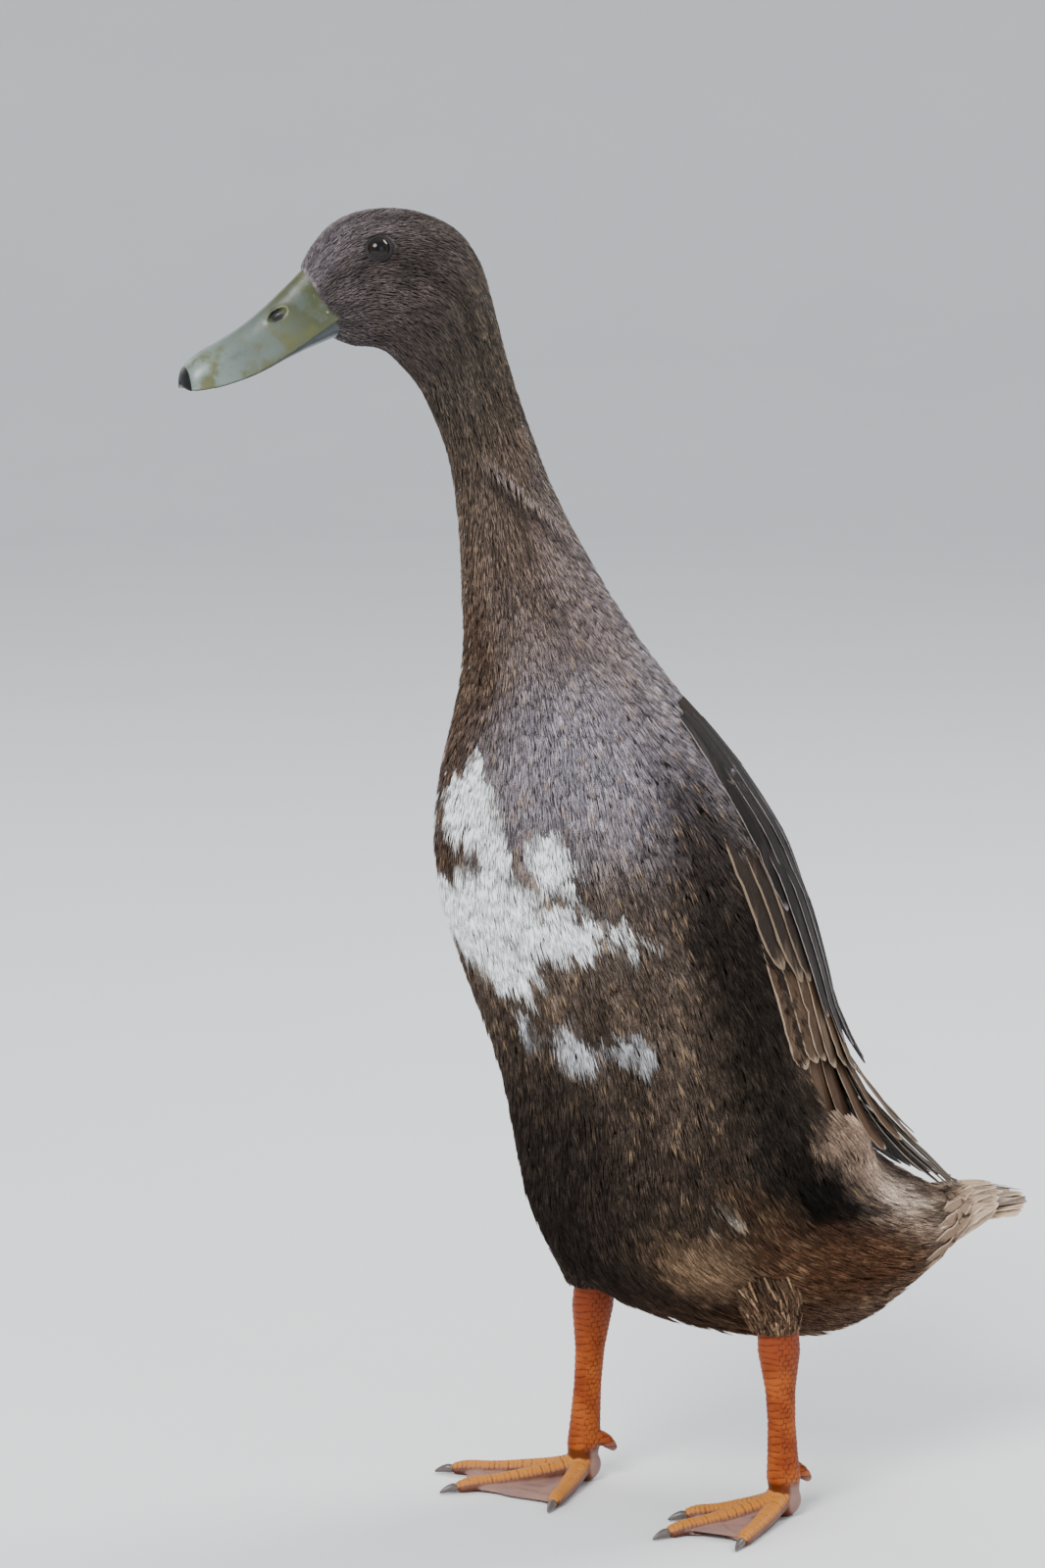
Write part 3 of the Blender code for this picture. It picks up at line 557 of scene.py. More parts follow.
# Marks on the plumage: how many sides have it, name, section and angle of the middle, half its
# length in sections, half its width in degrees, how soft its rim is, strength, and colour, where
# None is the settings' white. Angles past 180 are on the right. The fringes and dark strands stay
# off the white marks, but not off the brown ones on them.
MARKS = [
    (1, "rusty neck front", 14.9, 174, 3.0, 34, 0.5, 0.92, (0.098, 0.062, 0.042)),
    # Painted reflection: the pale mauve of the shoulders is a sheen of the sky on wet feathers.
    (2, "shoulder's painted sky sheen", 16.1, 100, 1.4, 44, 0.7, 0.85, (0.345, 0.312, 0.350)),
    (2, "dark wing front", 18.9, 68, 2.6, 17, 0.5, 0.88, (0.034, 0.026, 0.023)),
    (2, "dark side", 20.8, 74, 2.2, 14, 0.5, 0.85, (0.022, 0.017, 0.013)),
    # Partly the belly's own dark brown and partly painted shade on the underside, away from the light above.
    (1, "belly front's dark and painted shade", 23.2, 168, 2.4, 36, 0.6, 0.85, (0.020, 0.015, 0.013)),
    (2, "dark flank", 23.0, 73, 1.0, 14, 0.8, 0.85, (0.022, 0.018, 0.015)),
    (2, "black flank", 24.15, 66, 1.3, 18, 0.7, 0.97, (0.006, 0.005, 0.004)),
    (1, "rusty left flank", 24.3, 93, 1.1, 13, 0.6, 0.85, (0.080, 0.044, 0.025)),
    (1, "rusty right flank", 24.2, 268, 1.0, 13, 0.6, 0.85, (0.080, 0.044, 0.025)),
    (1, "buff left belly", 24.8, 119, 0.75, 13, 0.6, 0.95, (0.260, 0.165, 0.100)),
    (1, "buff right belly", 24.8, 242, 0.75, 13, 0.6, 0.95, (0.260, 0.165, 0.100)),
    (1, "pale left fleck", 23.75, 101, 0.22, 5, 0.5, 0.80, (0.460, 0.400, 0.340)),
    (2, "pink rump", 23.3, 37, 1.3, 13, 0.7, 1.0, (0.540, 0.375, 0.280)),
    (2, "pink rump front", 22.6, 49, 0.5, 10, 0.9, 0.85, (0.420, 0.285, 0.205)),
    (2, "cream rump", 24.95, 36, 1.1, 9, 0.5, 1.0, (0.900, 0.720, 0.560)),
    (1, "dark left tail root", 26.9, 38, 0.45, 11, 0.5, 0.80, (0.050, 0.035, 0.026)),
    (1, "dark right tail root", 27.0, 322, 0.45, 11, 0.5, 0.80, (0.050, 0.035, 0.026)),
    (2, "rusty vent", 26.0, 86, 1.3, 25, 0.6, 0.85, (0.120, 0.055, 0.028)),
    (1, "white collar patch", 17.0, 162, 0.62, 17, 0.20, 1.0, None),
    (1, "white collar fleck", 16.35, 158, 0.34, 4, 0.4, 1.0, None),
    (1, "white collar drop", 17.65, 146, 0.40, 7, 0.3, 1.0, None),
    (1, "white right collar patch", 17.2, 206, 0.45, 12, 0.3, 1.0, None),
    (1, "white bib", 18.75, 160, 0.78, 28, 0.14, 1.0, None),
    (1, "white bib's left reach", 18.95, 128, 0.40, 14, 0.20, 1.0, None),
    (1, "white bib's right reach", 18.7, 196, 0.65, 20, 0.22, 1.0, None),
    (1, "white bib's lower end", 19.62, 155, 0.24, 12, 0.3, 1.0, None),
    (1, "white shoulder tuft", 17.85, 125, 0.46, 8, 0.22, 1.0, None),
    (1, "white side tuft", 19.05, 108, 0.18, 7, 0.4, 0.9, None),
    (1, "white lower patch", 20.75, 137, 0.26, 9, 0.5, 0.80, GREY_WHITE),
    (1, "white lower tuft", 20.7, 117, 0.20, 6, 0.5, 0.75, (0.60, 0.61, 0.64)),
    (1, "white lower fleck", 20.45, 157, 0.22, 4, 0.5, 0.80, GREY_WHITE),
    (1, "white right tuft", 19.3, 230, 0.30, 9, 0.4, 0.9, None),
    (1, "white right fleck", 20.5, 214, 0.25, 7, 0.5, 0.8, GREY_WHITE),
    (1, "brown bib gap", 17.85, 177, 0.30, 13, 0.4, 1.0, (0.090, 0.058, 0.042)),
    (1, "brown bib spot", 19.05, 148, 0.12, 3, 0.5, 0.7, (0.110, 0.085, 0.070)),
    (1, "brown lower spot", 19.5, 142, 0.12, 3.5, 0.5, 0.8, (0.110, 0.085, 0.070)),
    # Painted light: the neck is paler on its upper sides, where the light from above falls.
    (2, "neck's painted top light", 13.6, 62, 1.7, 24, 0.7, 0.65, (0.270, 0.212, 0.205)),
    (2, "dark eye stripe", 3.3, 66, 1.9, 13, 0.7, 0.60, (0.040, 0.029, 0.026)),
    (2, "brown throat", 4.6, 140, 2.4, 34, 0.7, 0.50, (0.048, 0.036, 0.032)),
]


def all_marks():
    """Every mark, those of both sides on the left and then on the right."""
    for sides, name, t, angle, *rest in MARKS:
        yield name, t, angle, *rest
        if sides == 2:
            yield name, t, 360 - angle, *rest


def markings_group(settings_white):
    """Colour of the plumage at a place on the body, with each mark's rim broken by noise."""
    outputs = [("NodeSocketColor", "Color"), ("NodeSocketFloat", "White")]
    group = node_group("Plumage markings", [("NodeSocketVector", "Place", None)], outputs)
    g = Graph(group)
    place = g.node("NodeGroupInput").outputs["Place"]
    section, sine, cosine = g.split(place)
    on_flanks = g.ramp(section, [(t / LAST, colour) for t, colour, _ in GROUND])
    # Along the back the ground colours hold painted light from above and a painted sheen of the sky.
    back_with_painted_light = g.ramp(section, [(t / LAST, colour) for t, _, colour in GROUND])
    colour = g.mix(g.smooth(cosine, 0.25, 0.85), on_flanks, back_with_painted_light)
    stretched = g.vector("MULTIPLY", place, (LAST, 6.0, 6.0))
    patchy = g.noise(stretched, 0.9, 3.0)["Fac"]
    colour = g.shade(colour, g.smooth(patchy, 0.32, 0.70, 0.72, 1.35))
    shift = g.vector("SUBTRACT", g.noise(stretched, 1.6, 2.0)["Color"], (0.5, 0.5, 0.5))
    warped = g.vector("ADD", place, g.vector("MULTIPLY", shift, (0.9 / LAST, 0.30, 0.30)))
    white = 0.0
    for name, t, angle, half_length, half_width, soft, strength, mark_colour in all_marks():
        centre = (t / LAST, math.sin(math.radians(angle)), math.cos(math.radians(angle)))
        round_scale = 1 / math.radians(half_width)
        offset = g.vector("SUBTRACT", warped, centre)
        scaled = g.vector("MULTIPLY", offset, (LAST / half_length, round_scale, round_scale))
        amount = g.smooth(g.length(scaled), 1.0 + soft, 1.0 - soft, 0.0, strength)
        amount.node.label = name
        colour = g.mix(amount, colour, mark_colour or settings_white)
        if name.startswith("white"):
            white = g.math("MAXIMUM", white, amount)
        elif name.startswith("brown"):
            white = g.math("SUBTRACT", white, amount, clamp=True)
    # The neck's crease, at the line of NECK_CREASE in radians: a painted highlight on its edge and painted
    # shade in the fold behind it.
    turn = g.math("ABSOLUTE", g.math("ARCTAN2", sine, cosine))
    crease = g.math("MULTIPLY_ADD", turn, -1.74, 13.96)
    behind = g.math("SUBTRACT", g.math("MULTIPLY", section, LAST), crease)
    beside = g.product(g.smooth(turn, 0.6, 0.95), g.smooth(turn, 2.3, 1.9))
    ridge = g.product(g.smooth(behind, -0.42, -0.12), g.smooth(behind, 0.12, -0.02), beside, 0.8)
    fold = g.product(g.smooth(behind, -0.02, 0.16), g.smooth(behind, 0.75, 0.25), beside, 0.65)
    colour = g.paint(colour, (ridge, (0.270, 0.215, 0.195)), (fold, (0.026, 0.019, 0.016)))
    g.node("NodeGroupOutput", {"Color": colour, "White": white})
    return group


def plain_shader(name, roughness, specular=0.5):
    """A new material with its tree's graph and its shader."""
    material = bpy.data.materials.new(name)
    material.use_nodes = True
    shader = material.node_tree.nodes["Principled BSDF"]
    shader.inputs["Roughness"].default_value = roughness
    shader.inputs["Specular IOR Level"].default_value = specular
    return material, Graph(material.node_tree), shader


def plumage_material(name, roughness, sheen, fringed, fringe_colour, contrast):
    """Feathers: the markings, lighter and darker strands, streaks along them, painted shade at their roots,
    pale fringes.
    """
    _, g, shader = plain_shader(name, roughness, 0.04)
    group = g.node("ShaderNodeGroup", node_tree=bpy.data.node_groups["Plumage markings"])
    g.feed(group, "Place", g.attribute("place"))
    ground, white = group.outputs["Color"], group.outputs["White"]
    along, pick, feather = g.split(g.attribute("strand"))
    streak_place = g.join(g.math("MULTIPLY", along, 2.0), g.math("MULTIPLY", pick, 9.0),
                          g.math("MULTIPLY", feather, 9.0))
    streaks = g.noise(streak_place, 9.0, 1.5, 0.6)["Fac"]
    strand_tone = g.math("MULTIPLY_ADD", pick, 1.2 * contrast, 1.0 - 0.6 * contrast)
    feather_tone = g.math("MULTIPLY_ADD", feather, contrast, 1.0 - contrast / 2)
    streak_tone = g.smooth(streaks, 0.35, 0.65, 1.0 - 0.5 * contrast, 1.0 + 0.4 * contrast)
    tone = g.product(strand_tone, feather_tone, streak_tone)
    calm = g.mix(white, g.join(tone, tone, tone), (0.97, 0.97, 0.97))
    colour = g.mix(1.0, ground, calm, "MULTIPLY")
    # Painted shade: each strand is darker towards its root, where it lies under the feathers in front; the
    # white marks are left unshaded.
    colour = g.shade(colour, g.math("MAXIMUM", g.smooth(along, 0.2, 0.6, 0.72, 1.0), white))
    off_white = g.rest(white)
    dark_band = g.product(g.smooth(along, 0.50, 0.66), g.smooth(along, 0.88, 0.78), off_white, 0.18)
    tip = g.product(g.smooth(along, 0.50, 0.90), g.smooth(feather, 1.0 - fringed, 1.02 - fringed * 0.4),
                    g.smooth(g.split(ground)[1], 0.015, 0.080, 0.08, 1.0), off_white, 0.8)
    colour = g.paint(colour, (dark_band, (0.012, 0.009, 0.008)), (tip, fringe_colour))
    g.feed(shader, "Base Color", colour)
    g.feed(shader, "Normal", g.bump(streaks, 0.3, 0.2 * MM))
    g.feed(shader, "Sheen Weight", sheen)
    g.feed(shader, "Sheen Roughness", 0.6)


def skin_depth(t):
    """How far the skin lies under the outline."""
    return read_rows(COAT, t)[0] * MM


def plumage_values(mesh, t, angle):
    """What the plumage's materials read on a mesh without strands."""
    add_vectors(mesh, "place", place_of(t, angle))
    add_vectors(mesh, "strand", np.tile((0.4, 0.5, 0.5), (len(mesh.vertices), 1)))


def make_skin(columns, rows):
    """The body's skin under the coat, from the bill's root to the tail's end."""
    def place(u, v):
        t = v * LAST
        angle = (u * 2 - 1) * math.pi
        return on_body(t, angle, -skin_depth(t) - 0.3 * MM)

    skin = finished(grid_surface(columns, rows, place), "skin", "Skin under the coat", "breast_plumage")
    plumage_values(skin.data, *nearest_place(np.array([v.co for v in skin.data.vertices])))
    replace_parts(skin, "head", "neck_upper", "neck_lower", "breast", "belly", "rump")


def nearest_place(points):
    """Section and angle of points near the body, from the closest of a table of its points."""
    ts = np.linspace(0, LAST, 321)
    angles = np.linspace(-math.pi, math.pi, 121)[:-1]
    grid_t, grid_a = (a.ravel() for a in np.meshgrid(ts, angles, indexing="ij"))
    table = on_body(grid_t, grid_a, -skin_depth(grid_t))
    tree = KDTree(len(table))
    for k, p in enumerate(table):
        tree.insert(p, k)
    tree.balance()
    found = np.array([tree.find(p)[1] for p in points])
    return grid_t[found], grid_a[found]


def box_middle(node):
    """The middle of a solid's box."""
    low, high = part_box(node)
    return (low + high) / 2


# Radius of the eyeball, how near its middle a strand may come, and the share of its length that is
# left to a strand whose tip would come nearer.
EYE_RADIUS, EYE_CLEARS, SHORTENED = 5.6 * MM, 6.4 * MM, 0.4


def clear_of_eyes(lines):
    """Which centre lines stay off the eyes, and the lines, shortened where a tip would cross one."""
    keep = np.ones(len(lines), bool)
    for suffix in SIDES:
        off = np.linalg.norm(lines - np.array(box_middle("eye_" + suffix)), axis=-1)
        keep &= (off[:, 0] > EYE_CLEARS) & (off[:, 1] > EYE_CLEARS)
        crossing = (off[:, 2:] < EYE_CLEARS).any(axis=1)
        root = lines[:, :1]
        lines = np.where(crossing[:, None, None], root + (lines - root) * SHORTENED, lines)
    return keep, lines


def coat_length(name, seed):
    """The feathers of one length of the body: every feather a tuft of strands drawn together towards its tip.
    """
    first, last, material, slot = COAT_LENGTHS[name]
    rng = np.random.default_rng(seed)
    t, angle = roots_on_body(first, last, rng)
    depth, _, length, wide, strand_wide, strands = read_rows(COAT, t)
    side = np.sign(np.sin(angle))
    degrees = degrees_off_back(angle)
    over_wing = gauss(degrees - 56, 13) * smoothstep(t, 16.4, 17.6) * (1 - smoothstep(t, 22.0, 23.2))
    lean = -0.16 * over_wing * side + rng.normal(0, 0.05, len(t))
    feather_pick = rng.uniform(0, 1, len(t))
    size = rng.uniform(0.85, 1.12, len(t)) * (1 + 0.15 * over_wing)
    fluff = smoothstep(t, 24.5, 27.0) * smoothstep(degrees, 50, 100)
    ruffle = rng.uniform(-0.22, -0.02, len(t)) + fluff * rng.uniform(-0.3, 0.3, len(t))

    # From here on each strand takes the values of its own feather.
    count = np.maximum(np.rint(strands).astype(int), 1)
    feather = np.repeat(np.arange(len(t)), count)
    order = np.concatenate([np.arange(n) for n in count])
    n = len(feather)
    round_pace = np.maximum(body_frame(t, angle)[4], 4 * MM)
    t, angle, depth, length, wide, strand_wide, count, size, lean, ruffle, feather_pick, round_pace = (
        values[feather] for values in (t, angle, depth, length, wide, strand_wide, count, size, lean,
                                       ruffle, feather_pick, round_pace))
    spread = (order - (count - 1) / 2) / np.maximum((count - 1) / 2, 1)
    off_middle = np.abs(spread)
    strand_length = length * size * (1.06 - 0.22 * off_middle) * rng.uniform(0.86, 1.06, n)
    fan = -spread * 0.16 * (wide / length) + rng.normal(0, 0.05, n)
    sway = lean + rng.normal(0, 0.05, n)
    proud = np.where(wide > 0, 0.25 * (1 - off_middle), 0.0)
    rise = depth * (ruffle + rng.uniform(-0.04, 0.04, n)) + 0.12 + proud
    root_angle = angle + spread * wide * MM * 0.5 / round_pace
    shares = BARB_SHARES if wide.any() else STRAND_SHARES
    lines, normals = body_strand_lines(t, root_angle, strand_length * MM, depth * MM, rise * MM,
                                       fan, sway, shares)
    width = strand_wide * MM * rng.uniform(0.85, 1.15, n)
    pick = rng.uniform(0, 1, n)
    # Strands off a feather's middle take a lower pick: darker, as painted shade that rounds each feather, and
    # without a pale tip.
    feather_pick = feather_pick * (1 - 0.5 * np.where(count > 1, off_middle, 0.0))
    if name == "head_feathers":
        keep, lines = clear_of_eyes(lines)
        t, angle, lines, normals, width, pick, feather_pick = (
            values[keep] for values in (t, angle, lines, normals, width, pick, feather_pick))
    points, faces = strand_mesh(lines, normals, width)
    strand, along, aside = strand_values(shares, pick, feather_pick)
    place = np.repeat(place_of(t, angle), along.shape[1], axis=0)
    uv = patch_uv(t[:, None], angle[:, None], along - 0.5, aside).reshape(-1, 2)
    mesh = joined_mesh(name, points, faces, place, strand, uv)
    return new_object(name, mesh, material, slot)


# Half of the opening between the lids, ahead and up.
LID_OPENING = (4.9 * MM, 4.4 * MM)
# Round the lids' cross section: share of the opening's reach, height in units of LID_STEP.
LID_PROFILE = [
    (0.93, -0.9), (0.96, 0.15), (1.01, 0.45), (1.09, 0.5),
    (1.20, 0.15), (1.32, -0.45), (1.30, -1.6), (1.0, -1.9),
]
LID_STEP = 0.6 * MM


def make_eye(suffix):
    """A glossy eyeball in its socket and the rim of the lids round it."""
    centre = box_middle("eye_" + suffix)
    point, normal, tailward, _, _ = body_frame(*nearest_place(np.array([centre])))
    out = Vector(normal[0])
    ahead = (-Vector(tailward[0]) + Vector((0.0, 0.0, -0.12))).normalized()
    ahead = (ahead - out * ahead.dot(out)).normalized()
    up = out.cross(ahead).normalized() * SIDES[suffix]
    bm = bmesh.new()
    bmesh.ops.create_icosphere(bm, subdivisions=5, radius=EYE_RADIUS)
    bmesh.ops.translate(bm, verts=bm.verts, vec=centre)
    eye = finished(bm, "eyeball_" + suffix, "Eye", "eye")
    local = [Vector(v.co) - centre for v in eye.data.vertices]
    add_vectors(eye.data, "gaze", [(v.dot(ahead), v.dot(up), v.dot(out)) for v in local])
    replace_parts(eye, "eye_" + suffix)
    lift = (Vector(point[0]) - centre).dot(out)
    profile = [(k, *row) for k, row in enumerate(LID_PROFILE + LID_PROFILE[:1])]

    def place(u, v):
        a = u * 2 * math.pi
        wide, high = read_rows(profile, v * len(LID_PROFILE))
        corner = 0.9 * MM * gauss(np.abs(np.sin(a)), 0.25) * np.clip(wide - 0.9, 0, 0.4) * np.sign(np.cos(a))
        x = np.cos(a) * LID_OPENING[0] * wide + corner
        y = np.sin(a) * LID_OPENING[1] * wide
        ball = np.sqrt(np.maximum(EYE_RADIUS**2 - x**2 - y**2, (2.0 * MM) ** 2))
        rim = np.where(wide < 1.1, ball + 0.12 * MM, np.minimum(ball, lift))
        wrinkle = 0.10 * MM * np.sin(a * 26) * gauss(wide - 1.2, 0.15)
        rim = np.maximum(rim, lift - 1.2 * MM) + high * LID_STEP + wrinkle
        z = np.where(high > -0.5, rim, lift - 2.2 * MM)
        return np.stack([x, y, z], -1) @ np.array([ahead, up, out]) + np.array(centre)

    finished(grid_surface(120, 24, place), "eyelids_" + suffix, "Lid skin", "head_down")


# The bill: x and z of its ridge, x and z of its cutting edge, half its width.
BILL = np.array([
    (143.0, 554.5, 131.0, 533.0, 8.8),
    (145.5, 552.5, 134.0, 531.0, 9.2),
    (155.0, 543.8, 146.0, 523.5, 9.6),
    (164.0, 536.0, 156.0, 517.3, 9.7),
    (174.0, 528.6, 168.0, 511.0, 10.0),
    (183.0, 523.4, 178.5, 507.3, 10.7),
    (190.5, 519.4, 187.5, 505.0, 10.8),
    (196.5, 514.8, 195.5, 503.7, 8.8),
    (200.0, 509.5, 199.6, 504.2, 4.6),
]) * MM
BILL_LAST = len(BILL) - 1
# The upper horn ends and its nail starts at these rows of BILL, a little over each other.
HORN_END, NAIL_START = 7.42, 7.34
# The lower bill's keel: row of BILL, millimetres under the cutting edge.
KEEL = [(0.4, 8.5), (1, 7.5), (2, 4.2), (3, 2.2), (4, 1.3), (5, 0.8), (6, 0.5)]
# x and z of the nostril, half of its length and height, its depth and the rise of its rim.
NOSTRIL_AT, NOSTRIL_HALF = (159.0 * MM, 533.8 * MM), (4.0 * MM, 1.75 * MM)
NOSTRIL_DEPTH, NOSTRIL_RIM = 2.6 * MM, 0.35 * MM
# Reach of the lip, height of the hollow under the dome, and depth of the groove along its side.
LIP, PALATE, SIDE_GROOVE = 0.45 * MM, 2.4 * MM, 0.30 * MM
# x and z of the bill's root, and how far the bill points down.
BILL_ROOT = (0.140, 0.545)
BILL_PITCH = math.radians(33)


def bill_rows(s):
    """Cutting edge, the way from it up to the ridge, and half the width, at rows s of BILL."""
    row = curve_rows(BILL, s)
    edge = np.stack([row[:, 2], 0 * s, row[:, 3]], -1)
    rise = np.stack([row[:, 0] - row[:, 2], 0 * s, row[:, 1] - row[:, 3]], -1)
    return edge, rise, row[:, 4]


def bill_upper_point(s, k):
    """k runs 0 to 1 over the dome from the left edge to the right, then 1 to 2 back under it."""
    edge, rise, half = bill_rows(s)
    height = np.linalg.norm(rise, axis=1)
    up = rise / height[:, None]
    on_dome, under = k <= 1, 2 * (k - 1) - 1
    a = math.pi * np.clip(k, 0, 1)
    peak = 1.25 - 0.45 * s / BILL_LAST
    dome = np.maximum(np.sin(a), 1e-9) ** peak
    y = np.where(on_dome, half * np.cos(a), half * under * 0.94)
    palate = PALATE * np.clip((BILL_LAST - s) / 1.5, 0, 1)
    z = np.where(on_dome, height * dome, palate * (1 - under**2))
    lip = LIP * gauss(dome, 0.10)
    groove = gauss(dome - 0.30, 0.10) * SIDE_GROOVE * np.clip(s - 1, 0, 1) * np.clip(7 - s, 0, 1)
    point = edge + up * z[:, None]
    point[:, 1] += y + np.where(on_dome, (lip - groove) * np.sign(y), 0)
    return point, y


def nostril_offset(points):
    """Along and across the nostril's long axis, in metres."""
    x, z = points[:, 0] - NOSTRIL_AT[0], points[:, 2] - NOSTRIL_AT[1]
    along = x * math.cos(BILL_PITCH) - z * math.sin(BILL_PITCH)
    across = x * math.sin(BILL_PITCH) + z * math.cos(BILL_PITCH)
    return along, across


def make_bill(columns, rows):
    """Upper bill with its nostrils, ridge and lip, the nail at its tip and the lower bill."""
    def upper(u, v):
        points, y = bill_upper_point(v * HORN_END, u * 2)
        along, across = nostril_offset(points)
        r = np.hypot(along / NOSTRIL_HALF[0], across / NOSTRIL_HALF[1])
        outer = (u <= 0.5) & (np.abs(y) > 3 * MM)
        pit = np.clip(1.15 - r, 0, 1) ** 0.5 * NOSTRIL_DEPTH
        rim = NOSTRIL_RIM * gauss(r - 1.35, 0.25)
        points[:, 1] += np.where(outer, np.sign(y) * (rim - pit), 0)
        return points

    def nail(u, v):
        s = NAIL_START + v * (BILL_LAST - NAIL_START)
        points, _ = bill_upper_point(s, u * 2)
        edge, rise, _ = bill_rows(s)
        middle = edge + rise * 0.42
        closing = 1.05 * np.sqrt(np.clip(1 - v**2.6, 0.0, 1))
        return middle + (points - middle) * closing[:, None]

    def lower(u, v):
        s = v * 5.6 + KEEL[0][0]
        edge, rise, half = bill_rows(s)
        inner = half - 1.0 * MM
        k = u * 2
        top = k <= 1
        wide = np.where(top, -1 + 2 * k, np.cos(math.pi * (k - 1)))
        roof = 2.4 * MM * (1 - (wide * inner / half) ** 2) - 0.45 * MM
        keel = read_rows(KEEL, s)[0] * MM * np.sin(math.pi * np.clip(k - 1, 0, 1)) + 0.3 * MM
        channel = 0.6 * MM * gauss(wide, 0.35)
        z = np.where(top, roof, -keel + channel * np.clip(s - 2.0, 0, 1))
        points = edge + unit(rise) * z[:, None]
        points[:, 1] += wide * inner
        return points

    parts = (
        ("bill_upper_horn", grid_surface(columns, rows, upper), "Bill horn", "bill_horn", "bill_upper"),
        ("bill_tip_nail", grid_surface(64, 24, nail), "Bill nail", "bill_nail", "bill_nail"),
        ("bill_lower_horn", grid_surface(72, 90, lower), "Lower bill horn", "bill_horn", "bill_lower"),
    )
    for name, bm, material, slot, node in parts:
        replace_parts(finished(bm, name, material, slot), node)


# Rows of wing feathers, from the innermost out: how many; then for the feather next to the back
# and for the last one in front the angle, the sections of root and tip and the height of the vane
# off the body in millimetres; the height of the roots, the width, how long the tip tapers, how far
# along the vane it has risen to its height, and the material.
WING_ROWS = {
    "primaries": (7, (9, 21.0, 29.8, 3.5), (24, 21.2, 27.2, 2.0), 0.8, 9.0, 0.55, 0.8, "Primary vanes"),
    "secondaries": (7, (9, 20.9, 25.2, 5.4), (55, 20.9, 22.9, 2.6), 2.0, 14.0, 0.35, 0.42, "Secondary vanes"),
    "greater_coverts": (
        6, (26, 19.3, 22.0, 6.4), (57, 19.2, 21.4, 4.8), 3.5, 16.0, 0.16, 0.42, "Covert vanes"),
    "median_coverts": (
        4, (36, 17.9, 20.3, 7.2), (57, 17.8, 20.1, 6.2), 3.6, 16.0, 0.30, 0.42, "Median covert vanes"),
    "scapulars": (5, (8, 17.6, 22.3, 8.9), (38, 17.2, 21.0, 7.9), 3.8, 17.0, 0.55, 0.42, "Scapular vanes"),
    "upper_scapulars": (
        5, (9, 16.4, 19.8, 8.4), (44, 16.1, 19.3, 7.4), 1.4, 16.0, 0.50, 0.6, "Scapular vanes"),
}
TAIL_COVERT_ROWS = {
    "inner_coverts": (12, (6, 28.9, 31.2, 0.6), (174, 29.3, 30.9, 0.4), -1.6, 9.0, 0.7, 0.5, "Tail vanes"),
    "outer_coverts": (
        11, (9, 27.9, 30.3, 1.5), (171, 28.4, 30.1, 1.0), -1.8, 9.5, 0.7, 0.5, "Tail covert vanes"),
}
# How far the wing's end stands off the hollow of the rump, by section, next to the back, and
# between which angles that fades out.
WING_STANDS = [
    (20.8, 0.0), (21.4, 3.6), (22.0, 7.8), (23.0, 12.0), (24.0, 12.8),
    (25.0, 11.4), (26.0, 9.0), (27.0, 5.6), (28.0, 3.2), (30.0, 1.0),
]
STAND_FADES = (14, 48)
# The bed under the wing's feathers: section, first and last angle, height over the body.
WING_BED = [
    (15.9, 20, 36, 0.6), (17.0, 9, 54, 3.6), (19.0, 7, 58, 5.2),
    (21.0, 7, 56, 3.4), (22.3, 8, 48, 1.6), (23.2, 12, 36, -1.5),
]
# A vane's thickness, its shaft's height over it and the gap between two vanes, in millimetres, and
# its points across, as shares of half its width, and along.
VANE_THICKNESS, SHAFT_HEIGHT, VANE_CLEARANCE = 0.4, 0.28, 0.25
VANE_EDGES = np.array([-1.0, -0.93, -0.7, -0.4, -0.12, -0.035, 0.035, 0.12, 0.4, 0.7, 0.93, 1.0])
VANE_SHARES = 1 - (1 - np.linspace(0, 1, 16)) ** 1.35


def vane_half_width(share, point):
    """Half a vane's width along it, as a share: point is how much of it tapers to the tip."""
    root = np.minimum(1.0, 0.5 + 1.6 * share)
    tip = 1.0 - np.clip((share - (1 - point)) / point, 0, 1) ** 1.9 * 0.62
    rounding = np.sqrt(np.clip(1 - ((share - 0.90) / 0.105).clip(0, 1) ** 2, 0.02, 1))
    return root * tip * rounding


